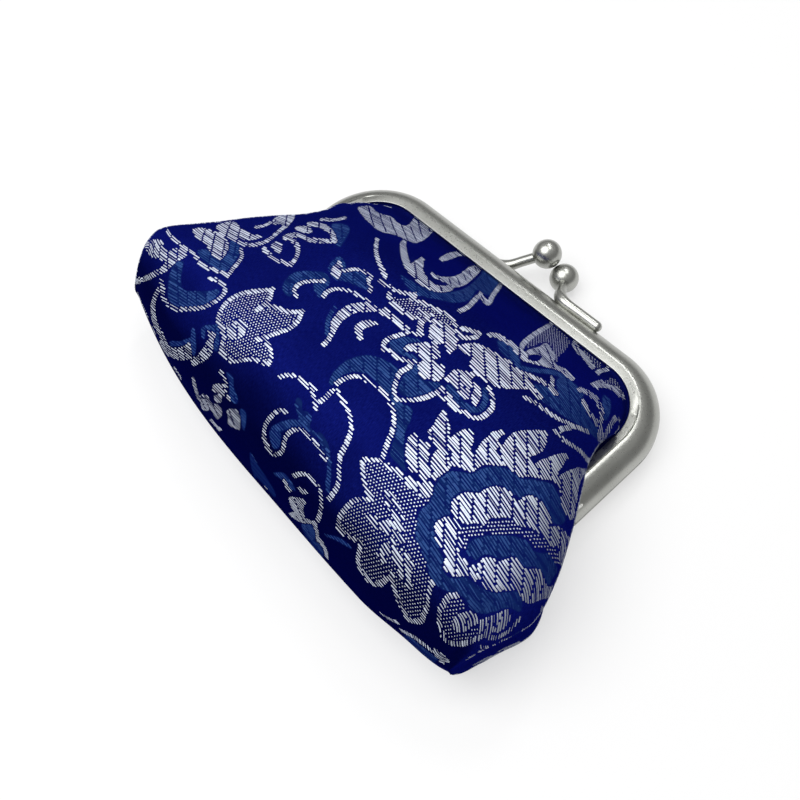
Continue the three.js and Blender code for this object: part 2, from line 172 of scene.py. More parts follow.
# down, half, height
SEAM_HALF, SEAM_HEIGHT = range(1, 3)
SEAM = np.array([
    (37.6, 37.2, 0),
    (40, 43.4, 0.6),
    (43, 46.9, 1.2),
    (47, 49.4, 1.8),
    (51, 50.2, 2.4),
    (56.6, 48.9, 3),
    (60.8, 47.9, 3.2),
    (63.6, 47.3, 3.4),
    (65.4, 46.6, 3.4),
])
# Soft hollows of the front: across, down, width, length, depth
DENTS = [
    (-31, 58, 9, 5, 1.3),
    (-3, 60, 8, 4.5, 1.2),
    (17, 57, 6, 7, 1.5),
    (30, 54, 5, 8, 1.0),
    (-37, 37, 12, 16, 2.3),
    (-34, 21, 12, 9, 3.4),
]

# Camera, in the purse's own millimetres, with its focal length in pixels of an 800-pixel frame.
CAMERA_AT = np.array((74.873, -81.161, 139.732))
CAMERA_RIGHT = np.array((0.66191, 0.74325, -0.09719))
CAMERA_UP = np.array((-0.60899, 0.60882, 0.50840))
CAMERA_BACK = np.cross(CAMERA_RIGHT, CAMERA_UP)
FOCAL_PIXELS = 880.98
FRAME_PIXELS = 800
SENSOR = 36

# Weave, in millimetres: silver weft floats over a satin ground. A share is of the weft's pitch.
WEFT_PITCH = 0.46
SILVER_FLOAT = {"share": 0.88, "height": 0.07, "stray": 0.05}
SLATE_FLOAT = {"share": 1.3, "height": 0.045, "stray": 0.0}
FLOAT_SHORTEST = 1.15
DOT_SHARE = 0.8
DOT_PITCH = 0.62
DOT_LENGTH = 0.37
# Ticks that tie a long float down. They shift from each weft thread to the next.
TICK_FROM = 2.2
TICK_PERIOD = 3.3
TICK_SHIFT = 0.52
TICK_GAP = 0.3
TICK_CLEAR = 0.6
# The weft droops to the right of this distance from the middle, with the square of what is left.
DROOP_FROM = 24
WEFT_DROOP = 0.006
# A float's samples on the chart, in millimetres and in grid columns, and its segments, ends and sinking.
FLOAT_SAMPLE = 0.1
COLUMN_STEP = 0.25
FLOAT_SEGMENT = 0.8
FLOAT_END = 0.15
END_SHARE = 0.3
END_WIDTH = 0.35
FLOAT_SINK = 0.03
# Section of a thread, as shares of its half-width and of its height, and how far threads differ.
THREAD_SECTION = ((-1, 0), (0, 1), (1, 0))
SIZE_SPREAD = 0.18
SIZE_RANGE = (0.6, 1.4)
STRAY_MOST = 0.12
FRONT_SEED = 11
BACK_SEED = 21
# Threads are narrower next to the frame, by grid rows, and where the cloth turns under at the bottom.
FRAME_THREAD = 0.62
FRAME_ROWS = (20, 60)
UNDER_THREAD = 0.7
UNDER_TURN = (0.35, 0.7)
# How far the satin has turned towards the bottom, over which painted shade darkens it.
PAINTED_SHADE_TURN = (0.45, 0.85)
# How far a point faces the view where it is seen, and the middle and reach of the band without figures.
FACING_VIEW = 0.08
BARE_MIDDLE = -0.08
BARE_REACH = 0.16
SEAM_BARE = 9
# How far the cloth has turned towards the right, over which painted shade darkens its threads.
PAINTED_SIDE_SHADE_TURN = (0.15, 0.65)

# Studio
CLIP_START = 0.01
LIGHT_CENTRE = (0, 0, 0.01)
FLOOR_REACH = 2.0
FLOOR_GLOW = 0.58
WORLD_LIGHT = 0.3
SOFTBOXES = [
    {"name": "key", "direction": (-0.20, -0.26, 0.94), "distance": 0.6, "size": 0.60, "watts": 3.15},
    {"name": "back", "direction": (-0.27, 0.57, 0.78), "distance": 0.8, "size": 0.16, "watts": 0.70},
    {"name": "side", "direction": (0.04, 0.38, 0.92), "distance": 0.8, "size": 0.24, "watts": 0.8},
    {"name": "fill", "direction": (-0.10, 0.10, 0.98), "distance": 0.8, "size": 2.6, "watts": 3.0},
]

# Brocade chart. Each row is the kind of thread, the width of a stroke and the points of its outline or
# line, as they stand in the picture (pixels of an 800-pixel frame). A doubled point is a sharp corner.
# blue: slate-blue figure; specks: slate dots; dots: silver dots; white: silver figure; ground: bare
# ground within a figure; line: open silver stroke; edge: closed silver stroke.
UPPER_LEAF = (
    "221,310 228,301 240,294 255,291 272,290 272,290 270,298 266,304 278,308 290,312 303,311 303,311 "
    "297,322 290,328 280,332 266,338 269,346 271,357 268,365 268,365 258,361 250,359 240,361 230,361 "
    "225,356 221,353 222,345 224,336 221,328 218,319"
)
LOWER_LEAF = (
    "370,460 364,459 362,467 363,476 365,485 368,493 373,500 373,500 360,499 353,501 347,507 342,513 "
    "339,519 338,527 342,532 350,537 358,542 362,545 362,545 358,556 359,565 363,573 369,580 376,585 "
    "382,583 387,578 391,575 391,575 392,580 394,586 395,591 397,597 399,602 402,608 405,613 407,618 "
    "412,621 418,622 422,620 424,614 427,608 428,600 429,592"
)
CHART = f"""
blue: 176,262 183,262 182,272 181,282 184,290 195,291 208,291 218,289 219,294 211,301 200,306 185,307
  174,305 168,298 168,285 170,272
line 4: 209,279 217,280 223,285 225,291 220,298 211,304 201,308 188,309 176,309 168,304 163,297 163,288
  161,280
line 5: 138,281 147,278 156,273 162,271
line 4: 159,289 155,297 153,306 154,318 157,327 161,334 164,341
white: 145,243 152,240 160,240 166,246 171,249 178,248 184,250 187,255 182,259 176,262 170,268 165,272
  161,268 165,262 158,259 151,256 146,249
ground: 164,243 170,241 173,246 170,250 165,249
line 3.5: 168,231 173,238 181,246 191,251 197,259 204,266 214,270 222,273 227,277
line 3.5: 227,277 232,270 238,263 242,256 241,249
blue: 198,250 208,250 213,257 222,259 229,250 230,241 239,245 240,252 236,260 230,268 224,271 214,267
  205,262 199,256
white: 193,230 200,228 210,230 215,236 222,236 228,243 228,250 222,259 216,258 210,251 207,245 203,243
  197,238
white: 217,226 228,222 236,223 240,228 246,232 255,235 262,237 250,240 238,238 228,234 219,231
line 3.5: 215,233 228,236 238,242 250,245 262,243 270,239 277,233 284,227
white: 273,220 280,216 293,215 294,219 290,224 286,228 281,224 275,224
line 2.5: 256,227 263,226 270,223
line 4: 264,249 270,255 276,260 284,262 291,265 291,265 296,258 298,250 296,244 291,239 285,237
white: 271,245 276,242 281,244 282,250 278,254 274,249
line 4: 287,236 297,235 307,239 320,241 335,241 335,241 332,233 326,228 319,225 309,224
white: 295,228 301,226 309,228 313,231 308,233 300,231
line 2.5: 322,219 333,220 345,218
blue: 332,224 345,224 350,230 345,240 340,247 335,244 337,238 333,230
blue: 284,282 291,274 300,271 312,271 325,273 330,281 325,290 320,297 314,290 312,283 300,283 294,290
  292,296 286,295 282,288
line 3.5: 297,297 294,291 298,285 304,282 314,281 324,281
line 3: 323,297 327,292 334,289 342,289 352,292 361,297 370,302
blue: 329,268 335,258 341,257 346,266 344,275 339,281 332,277
white: 331,270 338,262 343,269 342,272 338,279 333,274
line 3: 344,271 356,269 365,272 372,276 368,281 371,288 370,291
blue: 342,273 355,271 366,274 368,283 368,290 352,284 341,279
white: 322,346 328,339 330,331 331,322 336,314 344,307 354,303 366,303 376,306 385,312 391,318 384,316
  376,312 366,312 358,312 350,316 343,321 338,328 334,335 328,341
blue: 326,335 325,322 330,312 336,306 333,313 330,322 329,333
line 3.5: 384,309 390,314 397,320 403,326 408,330
line 3.5: 391,318 399,325 408,331
white: 355,326 361,321 368,320 375,322 379,323 373,326 366,328 363,332 363,340 358,338 355,331
dots: {UPPER_LEAF}
edge 4: {UPPER_LEAF}
white: 229,326 236,320 241,323 245,330 245,335 240,338 234,340 226,337 221,333 222,329
line 3.5: 240,320 246,328
line 5: 258,309 266,304
line 5: 257,339 266,338
white: 160,341 165,340 170,347 178,348 184,346 189,343 191,350 191,358 184,360 175,359 168,355 163,348
white: 191,358 196,357 200,352 204,347 206,342 209,338 207,331 212,332 216,336 213,341 213,348 212,354
  206,360 198,364 193,366
blue: 170,341 180,341 189,338 190,343 180,346 171,346
blue: 191,330 195,331 196,340 196,352 193,356 191,350
blue: 201,328 207,325 216,325 219,328 219,345 216,352 213,347 215,338 212,331 206,330 205,338 202,338
blue: 226,372 233,377 234,388 238,398 237,404 230,401 229,393 229,383
blue: 240,408 246,412 246,425 243,430 241,420 240,412
line 3: 193,378 195,387 198,396 203,402
line 2.5: 174,368 180,378
white: 201,403 206,402 210,407 208,411 203,409
white: 202,394 207,396 212,403 218,404 222,410 221,417 217,419 213,413 209,406
white: 213,385 220,384 226,389 228,392 222,393 214,391
white: 214,396 220,395 222,402 216,402
white: 227,410 234,409 240,416 240,425 240,430 234,428 228,424 228,417
line 3: 220,371 224,377 227,386
line 3: 221,393 226,397 230,401
line 2.5: 211,420 215,425 220,430
line 4: 280,377 288,375 296,377 303,382 310,390 314,398 316,409
line 3.5: 309,384 316,390
line 4: 318,403 324,399 329,394 334,390 340,396 345,404 349,413 351,422 351,431 348,440 344,448 340,457
  339,466 339,476 338,485 334,492 330,498
line 4: 336,384 342,380 350,377 359,376 367,380 374,386 380,391 386,397 391,405 394,414 394,423 392,432
  389,440 386,447 384,453 382,459
line 4: 287,412 280,410 273,415 267,422 264,431 265,441 270,451 277,455 283,450 284,442 288,434 294,430
  301,430 308,435 314,442 318,448 323,455 326,460
blue: 329,385 331,375 337,368 345,361 355,357 366,355 378,357 390,363 400,370 396,378 393,388 395,398
  401,403 412,409 411,420 406,430 404,445 404,458 406,472 398,464 390,455 392,445 396,432 396,425 395,412
  392,401 384,390 376,382 368,375 358,372 349,373 341,377 335,384
blue: 270,430 280,432 281,440 279,448 274,448 270,440
blue: 270,428 280,422 292,419 303,421 310,428 318,436 312,436 304,428 294,427 286,430 280,431
blue: 296,398 302,400 302,410 308,412 312,420 308,425 300,418 296,410
blue: 318,431 324,436 329,447 331,460 331,480 329,492 325,484 327,470 325,455 320,445
line 3.5: 295,475 303,474 310,476 316,483 320,491 321,500 321,509 318,520
white: 289,497 295,497 301,498 306,503 303,510 305,518 299,516 293,510 290,503
white: 288,514 294,512 300,517 308,519 314,523 317,528 311,524 302,523 294,518
line 3.5: 299,488 305,493
line 3: 284,480 287,486 290,491
line 3: 314,524 317,532 318,539 323,545 326,552 327,560
blue: 301,524 308,523 315,528 316,537 312,541 305,534
blue: 311,542 318,543 324,552 321,558
blue: 273,473 284,473 292,483 296,492 289,487 282,480
blue: 325,535 335,536 345,541 352,549 344,545 335,540
blue: 250,452 258,465 268,480 276,495 270,497 260,485 252,470
dots: 378,460 {LOWER_LEAF} 431,586 432,580 428,575 427,565 424,556 420,548 416,540 415,530 417,522 418,512
  422,508 428,503 430,499 418,493 412,486 406,479 400,473 392,468 386,465
line 4: 382,460 {LOWER_LEAF} 431,584
line 5: 386,465 392,468 400,473 406,479 412,486
white: 384,490 390,492 396,498 393,499 398,506 403,511 398,510 394,505 391,507 396,513 403,517 406,519
  400,522 395,520 390,514 387,507 385,500
white: 366,515 372,515 377,518 381,521 387,520 393,521 397,525 398,529 393,531 388,536 384,531 379,530
  374,525 370,522
white: 396,520 401,524 405,528 402,532 399,528
white: 391,533 397,533 402,538 406,542 402,544 397,540
white: 380,546 386,542 391,540 395,546 399,552 404,557 410,562 413,566 410,570 412,576 410,579 412,588
  408,587 404,580 400,577 398,570 397,563 393,558 388,556 384,555
white: 376,552 382,555 388,562 384,564 379,560
line 3.5: 402,549 406,554 410,559
white: 358,208 366,206 372,208 376,212 383,215 391,217 397,223 404,226 409,224 413,219 415,214 420,219
  426,224 433,230 429,236 424,240 416,243 410,241 403,238 396,235 388,233 380,231 373,226 364,217
line 4: 377,240 376,250 378,259 381,267 386,276
line 6: 403,244 404,254 407,264 413,272 421,280 430,286 440,289 450,288
white: 411,264 416,260 422,258 424,263 423,270 427,277 433,284 427,284 420,277 414,271
white: 431,272 438,276 447,277 455,276 461,273 466,269 472,266 480,265 482,269 478,274 473,279 467,284
  460,287 452,287 446,283 441,280 434,277
white: 440,258 446,254 453,252 460,252 467,256 460,256 452,259 444,261
blue: 400,275 410,280 425,288 440,292 455,291 468,286 480,275 484,270 495,277 500,283 490,296 478,290
  470,300 455,303 440,300 425,297 410,290
line 3.5: 460,311 468,307 474,301 480,294 480,294 484,300 489,304 489,304 492,297 496,291 502,283
line 3.5: 379,281 388,286 398,291 409,294 416,295
line 3.5: 412,298 421,302 431,307 442,312 451,319 457,326
line 4: 388,295 392,302 399,309 408,314 417,319
dots: 390,297 400,298 412,299 425,304 440,312 452,320 447,327 432,318 418,318 404,311 395,304
white: 417,308 424,311 433,315 430,317 421,314
white: 409,331 417,332 422,330 424,336 417,336
white: 418,321 424,318 429,318 424,325 423,334 417,331
white: 430,325 437,326 440,335 437,338 430,337
white: 440,328 447,329 453,335 458,341 459,346 455,350 450,352 446,347 440,343 435,338 438,331
white: 404,348 409,344 418,343 425,342 434,342 437,346 440,354 441,357 436,359 428,360 421,358 416,352
  408,351
white: 418,364 424,360 431,359 438,364 443,366 445,373 442,379 437,381 430,379 423,378 419,372
white: 447,376 453,370 460,369 468,372 474,374 473,380 478,385 480,389 473,390 465,386 458,388 451,383
  445,380
white: 457,392 461,388 469,390 469,399 463,398
white: 471,397 473,391 480,388 481,396 477,405 472,401
white: 457,346 463,344 474,343 484,346 493,351 503,358 510,362 518,373 525,377 530,382 534,387 530,389
  520,389 510,389 500,388 494,386 488,382 482,378 476,375 472,369 468,363 472,358 466,354 460,350
ground: 443,353 452,353 462,354 469,361 468,369 458,369 450,369 446,373 444,364
line 4: 409,332 399,335 390,338 384,343 384,348 391,352 397,357 405,360 413,363
line 4: 413,364 408,368 402,371 398,376 396,382 394,389 395,394 399,399 405,400 412,400 420,399 427,397
  433,394 438,392 441,388
line 4: 441,388 447,394 453,402
line 3.5: 440,396 450,404 460,413
line 4: 456,406 464,412 472,417 480,418 488,413 493,405 492,396 488,387
line 4: 424,319 434,321 444,325 454,331 463,337 472,338 479,335 472,331 462,328
blue: 390,340 400,336 412,338 420,341 410,343 404,347 407,352 415,356 420,361 410,358 400,354 391,349
blue: 412,366 418,366 419,375 425,380 435,382 441,383 438,389 428,393 415,397 404,396 398,391 400,382
  405,373
blue: 445,385 452,386 457,392 462,400 470,405 478,407 482,400 482,388 486,388 489,398 484,410 472,413
  460,407 451,398
line 4: 490,334 498,336 505,340 511,344 516,349 520,353
blue: 497,340 505,342 511,346 516,352 520,360 520,366 512,361 504,355 499,349
dots: 525,342 535,334 545,328 553,325 560,330 566,336 570,342 566,350 560,356 556,362 553,350 548,342
  538,344 528,348
line 3.5: 551,324 543,329 535,334 527,340 522,346 521,353
white: 521,345 524,352 528,350 532,348 538,347 545,343 549,346 553,352 556,357 554,362 557,367 550,368
  543,366 536,364 528,362 523,360 520,355
ground: 528,356 534,355 540,356 540,359 534,361 529,359
line 4: 552,366 558,368 564,371 568,375 573,379
blue: 514,363 524,366 536,368 550,369 562,373 574,381 566,380 552,375 536,373 522,370
line 4: 510,367 520,372 530,376 538,379 545,383 550,387 554,391 557,394
line 4: 532,389 537,393 541,398
line 3: 552,378 552,384 553,388
blue: 531,386 537,384 545,386 553,391 558,395 556,380 565,378 575,384 582,392 584,402 586,412 591,420
  597,429 598,440 590,433 580,426 568,419 556,411 545,403 538,396 533,391
line 3.5: 526,397 532,401 539,405 545,410 551,414 557,418 563,421 570,424 576,427 582,429 587,432
line 2.5: 561,429 567,428 573,428 579,428
line 3.5: 554,430 558,433 562,437 565,441 570,444 576,448 581,452 585,456 588,461
line 4: 580,389 587,392 593,396 598,402 601,409 602,417 600,425 600,433 600,440
line 3.5: 583,400 586,406 588,411 592,416 596,421 598,426
line 4.5: 574,343 578,350 584,356 589,362 593,367
dots: 584,350 595,358 603,366 597,368 590,362
line 4: 598,372 604,370 612,370 620,373
white: 592,383 598,380 604,382 601,386 594,386
dots: 603,382 612,378 622,381 628,388 628,397 620,394 612,388 604,386
line 4: 598,386 606,386 613,388 617,391 620,395 627,398
line 4.5: 603,440 608,430 614,419
blue: 603,395 610,400 611,410 607,420 603,415 602,405
white: 407,440 411,434 416,433 420,438 425,442 430,446 428,451 430,456 428,462 430,470 431,477 425,480
  420,476 413,472 409,468 407,462 405,455 406,447
white: 408,474 416,481 424,487 422,481 429,482 433,488 431,497 424,498 416,491 412,484
white: 438,415 443,412 447,417 450,426 450,436 455,442 450,450 449,457 450,463 449,470 444,474 438,478
  434,478 431,470 431,460 433,453 438,448 434,444 430,438 427,432 433,425
white: 452,436 458,432 464,429 471,430 474,437 473,444 471,450 475,456 480,460 483,465 479,468 473,472
  466,470 458,467 451,466 451,458 452,450 451,444
white: 478,447 482,441 488,436 493,431 503,431 502,436 497,441 500,446 497,450 500,456 506,460 509,465
  500,466 490,465 484,465 478,458 475,452
white: 500,449 505,441 510,435 516,431 524,430 533,430 541,430 547,433 547,440 546,446 543,451 537,455
  530,458 536,464 546,470 556,479 546,480 538,478 530,477 520,477 513,471 508,466 503,458
white: 533,465 540,460 548,457 556,454 563,453 567,457 565,462 562,468 558,474 562,480 558,484 552,480
  545,473 538,468
white: 560,475 565,472 572,469 578,467 584,470 583,476 580,483 578,490 577,500 575,508 574,516 571,520
  567,515 563,508 561,500 560,490 558,482
blue: 433,490 438,480 444,475 450,471 462,472 473,473 480,469 494,466 508,469 520,478 532,479 546,482
  552,484 557,491 560,497 562,506 566,516 563,524 556,524 552,520 548,509 541,500 533,495 525,495 520,498
  511,492 505,487 497,485 484,488 478,492 470,491 462,492 452,499 450,508 450,515 445,516 435,523 434,530
  437,543 443,558 442,568 446,575 452,578 466,577 476,584 490,592 505,592 518,592 522,604 520,612 508,608
  498,611 486,614 478,613 470,608 464,598 452,593 440,588 432,580 428,570 424,556 416,540 416,525 420,510
  430,500
white: 452,500 456,497 462,493 470,492 478,493 484,489 490,487 497,486 505,488 511,493 516,499 520,500
  524,496 530,495 537,498 541,501 544,505 548,511 551,518 552,527 556,525 561,528 566,533 569,539 570,543
  567,550 563,560 561,566 559,555 558,545 553,548 549,543 545,537 540,533 534,530 527,527 521,527 515,523
  510,518 500,518 490,519 484,526 478,523 472,524 466,524 460,520 455,518 451,512
white: 435,524 440,519 446,516 452,518 458,522 461,528 460,535 462,541 462,548 459,553 460,558 465,558
  470,563 475,570 477,577 477,583 471,578 466,576 460,577 455,577 451,575 444,568 444,560 446,556 442,550
  438,543 435,535
dots: 462,532 464,526 470,525 478,525 485,527 490,521 500,520 512,520 518,526 525,530 533,531 540,536
  546,541 550,548 556,550 560,558 560,566 554,562 546,550 538,550 533,548 530,541 525,537 515,535 497,535
  487,534 480,536 472,538 468,541 465,551 462,545
blue: 466,552 470,541 480,537 490,535 505,535 518,537 528,542 533,550 540,553 548,553 553,560 557,570
  552,580 548,587 545,578 541,570 533,567 525,567 519,560 512,556 500,559 494,556 486,555 480,557 476,561
  470,556
white: 478,564 482,558 488,557 493,558 498,561 505,559 512,557 518,560 523,566 527,569 533,568 540,570
  543,577 547,585 552,587 550,592 548,598 541,600 536,602 531,604 526,603 521,598 518,591 511,591 505,590
  500,592 490,591 484,586 479,580 477,572
dots: 447,598 457,597 464,601 466,607 460,612 456,616 453,622 453,630 460,634 468,632 476,628 478,636
  465,641 452,640 444,634 441,622 442,608
line 4: 456,596 450,596 445,601 441,607 439,613 439,620 440,628 442,635 445,640 450,643 458,644 466,643
  472,641 478,638 485,636
white: 456,615 462,612 467,611 472,611 477,616 481,621 477,625 471,627 467,631 460,633 454,630 453,623
  454,618
white: 480,622 484,618 488,616 491,620 494,630 488,635 482,636 478,632
white: 490,616 494,614 500,612 504,610 508,609 510,613 510,620 507,625 502,630 497,633 494,631 495,625
  491,620
line 3: 487,637 495,638 502,635 508,632 512,628 516,623 520,618
line 2.5: 481,647 490,648 500,649
white: 501,642 506,640 512,643 512,648 506,650 502,648
white: 513,637 519,636 520,642 514,645
white: 541,608 546,607 547,612 543,616
line 2: 374,611 382,615 390,619 397,623
blue: 404,634 414,640 424,648 434,656 441,662 436,663 426,657 415,649 406,641
line 2: 402,631 412,636 422,643 432,651 438,657
line 2: 403,637 411,645 421,654 432,662
white: 434,648 441,653 447,658 451,664 446,667 440,666 434,662 440,659
line 4: 472,662 496,657
specks: 282,384 296,381 306,388 312,398 314,410 305,415 296,405 288,398 280,391
specks: 318,408 330,396 336,394 344,408 348,420 348,432 342,446 338,458 330,450 322,440 316,428 314,415
specks: 296,460 306,456 318,462 322,470 312,475 300,472
specks: 250,452 258,465 270,480 280,497 274,500 262,490 252,474 247,460
line 2: 256,478 264,487 274,499 283,510
"""
# The kinds in the order in which they cover one another, and how far past a figure it is looked for.
ORDER = ("blue", "specks", "dots", "white", "ground", "edge", "line")
CHART_MARGIN = 8
SPLINE_STEPS = 5
# Strokes are woven this much wider than charted, and silver figures grown by so many pixels.
LINE_SHARE = 1.25
WHITE_GROWTH = 0.45

# Colours, linear.
NAVY = (0.0050, 0.0098, 0.150, 1)
NAVY_DEEP = (0.0016, 0.0030, 0.075, 1)
# Painted shade: the ground's colour where the cloth turns down at the bottom.
NAVY_PAINTED_SHADE = (0.0004, 0.0010, 0.022, 1)
SLATE = (0.019, 0.053, 0.19, 1)
SLATE_DEEP = (0.005, 0.017, 0.10, 1)
SLATE_LIGHT = (0.033, 0.076, 0.245, 1)
SILVER = (0.73, 0.78, 0.89, 1)
SILVER_DULL = (0.52, 0.57, 0.68, 1)
# Painted shade: the silver's colour where the cloth turns to the right.
SILVER_PAINTED_SHADE = (0.18, 0.2, 0.245, 1)
NICKEL = (0.42, 0.425, 0.40, 1)
NICKEL_DARK = (0.37, 0.375, 0.35, 1)
WHITE = (1, 1, 1, 1)

# Sockets of a mix node's factor and two colours, and of its result.
MIX_INPUTS = (0, 6, 7)
MIX_OUTPUT = 2

# Looks. A texture has its scale in three directions and its detail. A range is the part of a texture
# over which it takes effect, and an amount is how far it does at most.
NOISE_ROUGHNESS = 0.55
NOISE_RANGE = (0.3, 0.7)
GRAIN_RANGE = (0.2, 0.8)
STREAKS = {"scale": (900, 140, 1), "detail": 4}
STREAK_RANGE = (0.3, 0.75)
PATCHES = {"scale": (14, 14, 1), "detail": 2}
PATCH_RANGE = (0.35, 0.7)
PATCH_AMOUNT = 0.35
# How far the painted shade darkens the satin ground at most.
PAINTED_SHADE_AMOUNT = 0.8
WEFT_WAVE = {"Scale": 1.0, "Distortion": 1.2, "Detail": 2.0, "Detail Scale": 3.0}
WEFT_WAVE_SCALE = (60, 10 / WEFT_PITCH, 1)
WEFT_AMOUNT = 0.55
FIGURE_EDGE = (-0.7, 0.7)
# Of the satin's ground and of its slate figures.
SATIN_ROUGHNESS = (0.58, 0.6)
SATIN_METALLIC = (0.55, 0.1)
SATIN_SHEEN = (0.05, 0.08, 0.55, 1)
SATIN_STRETCH = 0.75
SATIN_BUMP = {"strength": 0.25, "distance": 0.0002}
FIBRES = {"scale": (900, 5200, 900), "detail": 3}
BLOTCHES = {"scale": (1500, 1500, 1500), "detail": 2}
BLOTCH_RANGE = (0.5, 0.66)
BLOTCH_AMOUNT = 0.75
# How far painted shade darkens threads where the cloth turns to the right, at most.
PAINTED_SIDE_SHADE_AMOUNT = 0.8
ROUGHNESS_SPREAD = 0.16
THREAD_BUMP = {"strength": 0.2, "distance": 0.0001}
# colours: bright, dull, in blotches, painted shade where the cloth turns right
SILVER_LOOK = {"colours": (SILVER, SILVER_DULL, SILVER_DULL, SILVER_PAINTED_SHADE), "metallic": 0.45,
               "roughness": 0.42, "gloss": 0.3, "variety": 0.5}
SLATE_LOOK = {"colours": (SLATE_LIGHT, SLATE, SLATE_DEEP, SLATE_DEEP), "metallic": 0.15,
              "roughness": 0.5, "gloss": 0.0, "variety": 0.3}
NICKEL_GRAIN = {"scale": (2600, 2600, 2600), "detail": 3}
NICKEL_CLOUD = {"scale": (90, 90, 90), "detail": 2}
NICKEL_ROUGHNESS = (0.26, 0.34)
FLOOR_TONES = ((0.33, 0.33, 0.33, 1), (0.36, 0.36, 0.36, 1))
FLOOR_CLOUD = {"scale": (3, 3, 3), "detail": 2}
FLOOR_LOOK = {"Roughness": 0.9, "Specular IOR Level": 0.1, "Emission Color": WHITE,
              "Emission Strength": FLOOR_GLOW}


def unit(vectors):
    return vectors / np.maximum(np.linalg.norm(vectors, axis=-1, keepdims=True), TINY)


def smooth(value, low, high):
    part = np.clip((np.asarray(value, float) - low) / (high - low), 0, 1)
    return part * part * (3 - 2 * part)


def lerp(a, b, part):
    return a + (b - a) * part


def curve_weights(t):
    """Shares of a cubic's two ends and of the slopes at them."""
    return 1 - 3 * t ** 2 + 2 * t ** 3, 3 * t ** 2 - 2 * t ** 3, t - 2 * t ** 2 + t ** 3, t ** 3 - t ** 2


def read_table(table, column, down):
    """A table's column as a smooth curve over its first column."""
    xs = table[:, 0]
    ys = table[:, column]
    slopes = np.empty(len(xs))
    slopes[1:-1] = (ys[2:] - ys[:-2]) / (xs[2:] - xs[:-2])
    slopes[0] = (ys[1] - ys[0]) / (xs[1] - xs[0])
    slopes[-1] = (ys[-1] - ys[-2]) / (xs[-1] - xs[-2])
    x = np.clip(down, xs[0], xs[-1])
    i = np.clip(np.searchsorted(xs, x, side="right") - 1, 0, len(xs) - 2)
    step = xs[i + 1] - xs[i]
    start, end, leave, arrive = curve_weights((x - xs[i]) / step)
    return start * ys[i] + end * ys[i + 1] + step * (leave * slopes[i] + arrive * slopes[i + 1])


def path_lengths(line):
    """Distance of each point of a line along it."""
    steps = np.linalg.norm(np.diff(line, axis=0), axis=1)
    return np.concatenate([[0], np.cumsum(steps)])


def resample(line, count):
    """Points spaced evenly along a line."""
    along = path_lengths(line)
    at = np.linspace(0, along[-1], count)
    return np.stack([np.interp(at, along, line[:, i]) for i in range(line.shape[1])], axis=1)


# The purse's own zero, the middle of the frame's top edge on the parting plane, in the part's frame.
frame_low, frame_high = (np.array(corner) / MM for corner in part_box("front_frame"))
pouch_low = np.array(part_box("pouch")[0]) / MM
ORIGIN = np.array(((frame_low[0] + frame_high[0]) / 2, pouch_low[1] + POUCH_END, -FLOOR_LEVEL))


def to_part(points):
    return (np.asarray(points, float) + ORIGIN) * MM


def project(points):
    """Pixels at which points of the purse stand in the picture."""
    away = points - CAMERA_AT
    depth = -(away @ CAMERA_BACK)
    middle = FRAME_PIXELS / 2
    across = middle + FOCAL_PIXELS * (away @ CAMERA_RIGHT) / depth
    downward = middle - FOCAL_PIXELS * (away @ CAMERA_UP) / depth
    return np.stack([across, downward], axis=-1)


# Shape of the cloth


def frame_half_width(down, outward):
    radius = CORNER_RADIUS - FACE_HEIGHT + outward
    above = max(0, CORNER_RADIUS - down)
    return HALF_WIDTH - CORNER_RADIUS + math.sqrt(max(0, radius ** 2 - above ** 2))


def held_at(down):
    """hold, rim, hold level, rim level and middle of a row, as it is held by the frame or the seam."""
    if down >= SEAM_TOP:
        half = float(read_table(SEAM, SEAM_HALF, down))
        height = float(read_table(SEAM, SEAM_HEIGHT, down))
        return half, half - SEAM_RIDGE, SEAM_SHOULDER, SEAM_RIDGE, height
    depth = lerp(RIM_DEPTH, RIM_DEPTH_AT_HINGE, float(smooth(down, *RIM_TAPER)))
    level = lerp(RIM_LEVEL, RIM_LEVEL_AT_HINGE, float(smooth(down, LEG_END, SEAM_TOP)))
    return frame_half_width(down, -LIP_CLEARANCE), frame_half_width(down, depth), level, level, 0.0


def dent_depth(x, down):
    depth = 0
    for across, at, width, length, most in DENTS:
        depth = depth + most * np.exp(-((x - across) / width) ** 2 - ((down - at) / length) ** 2)
    return depth


def quarter_round(half_width, roundness, steps):
    """Distance across and share of height along a quarter of a rounded section, from middle to side."""
    angle = np.linspace(math.pi / 2, 0, steps)
    across = half_width * np.clip(np.cos(angle), 0, 1) ** (2 / roundness)
    return across, np.clip(np.sin(angle), 0, 1) ** (2 / roundness)


def with_margin(body, held, face):
    """A half row, evenly spaced, with its margin in the channel or the seam. face: 1 front, -1 back."""
    hold, rim, hold_level, rim_level, middle = held
    part = np.linspace(0, 1, MARGIN_COLUMNS + 1)[1:]
    margin = np.stack([lerp(hold, rim, part), middle + face * lerp(hold_level, rim_level, part)], axis=1)
    return np.concatenate([resample(body, HALF_COLUMNS + 1), margin])


def front_half(down, side):
    front, wide, wide_at = (float(read_table(SECTIONS, c, down)) for c in (FRONT, WIDE, WIDE_AT))
    held = held_at(down)
    hold, _, hold_level, _, middle = held
    inset = SHOULDER_INSET * (1 - float(smooth(down, FACE_HEIGHT, CORNER_RADIUS)))
    if side < 0:
        wide -= LEFT_DRAW["depth"] * math.exp(-((down - LEFT_DRAW["down"]) / LEFT_DRAW["length"]) ** 2)
    widest = max(wide, hold - inset)
    x, rise = quarter_round(widest, CROWN_ROUNDNESS, CROWN_STEPS)
    crown = np.stack([x, wide_at + (front - wide_at - dent_depth(side * x, down)) * rise], axis=1)
    part = np.linspace(1, 0, CURL_STEPS)[1:]
    x = lerp(hold, widest, smooth(part ** CURL_DELAY, 0, 1))
    curl = np.stack([x, lerp(middle + hold_level, wide_at, part)], axis=1)
    return with_margin(np.concatenate([crown, curl]), held, 1)


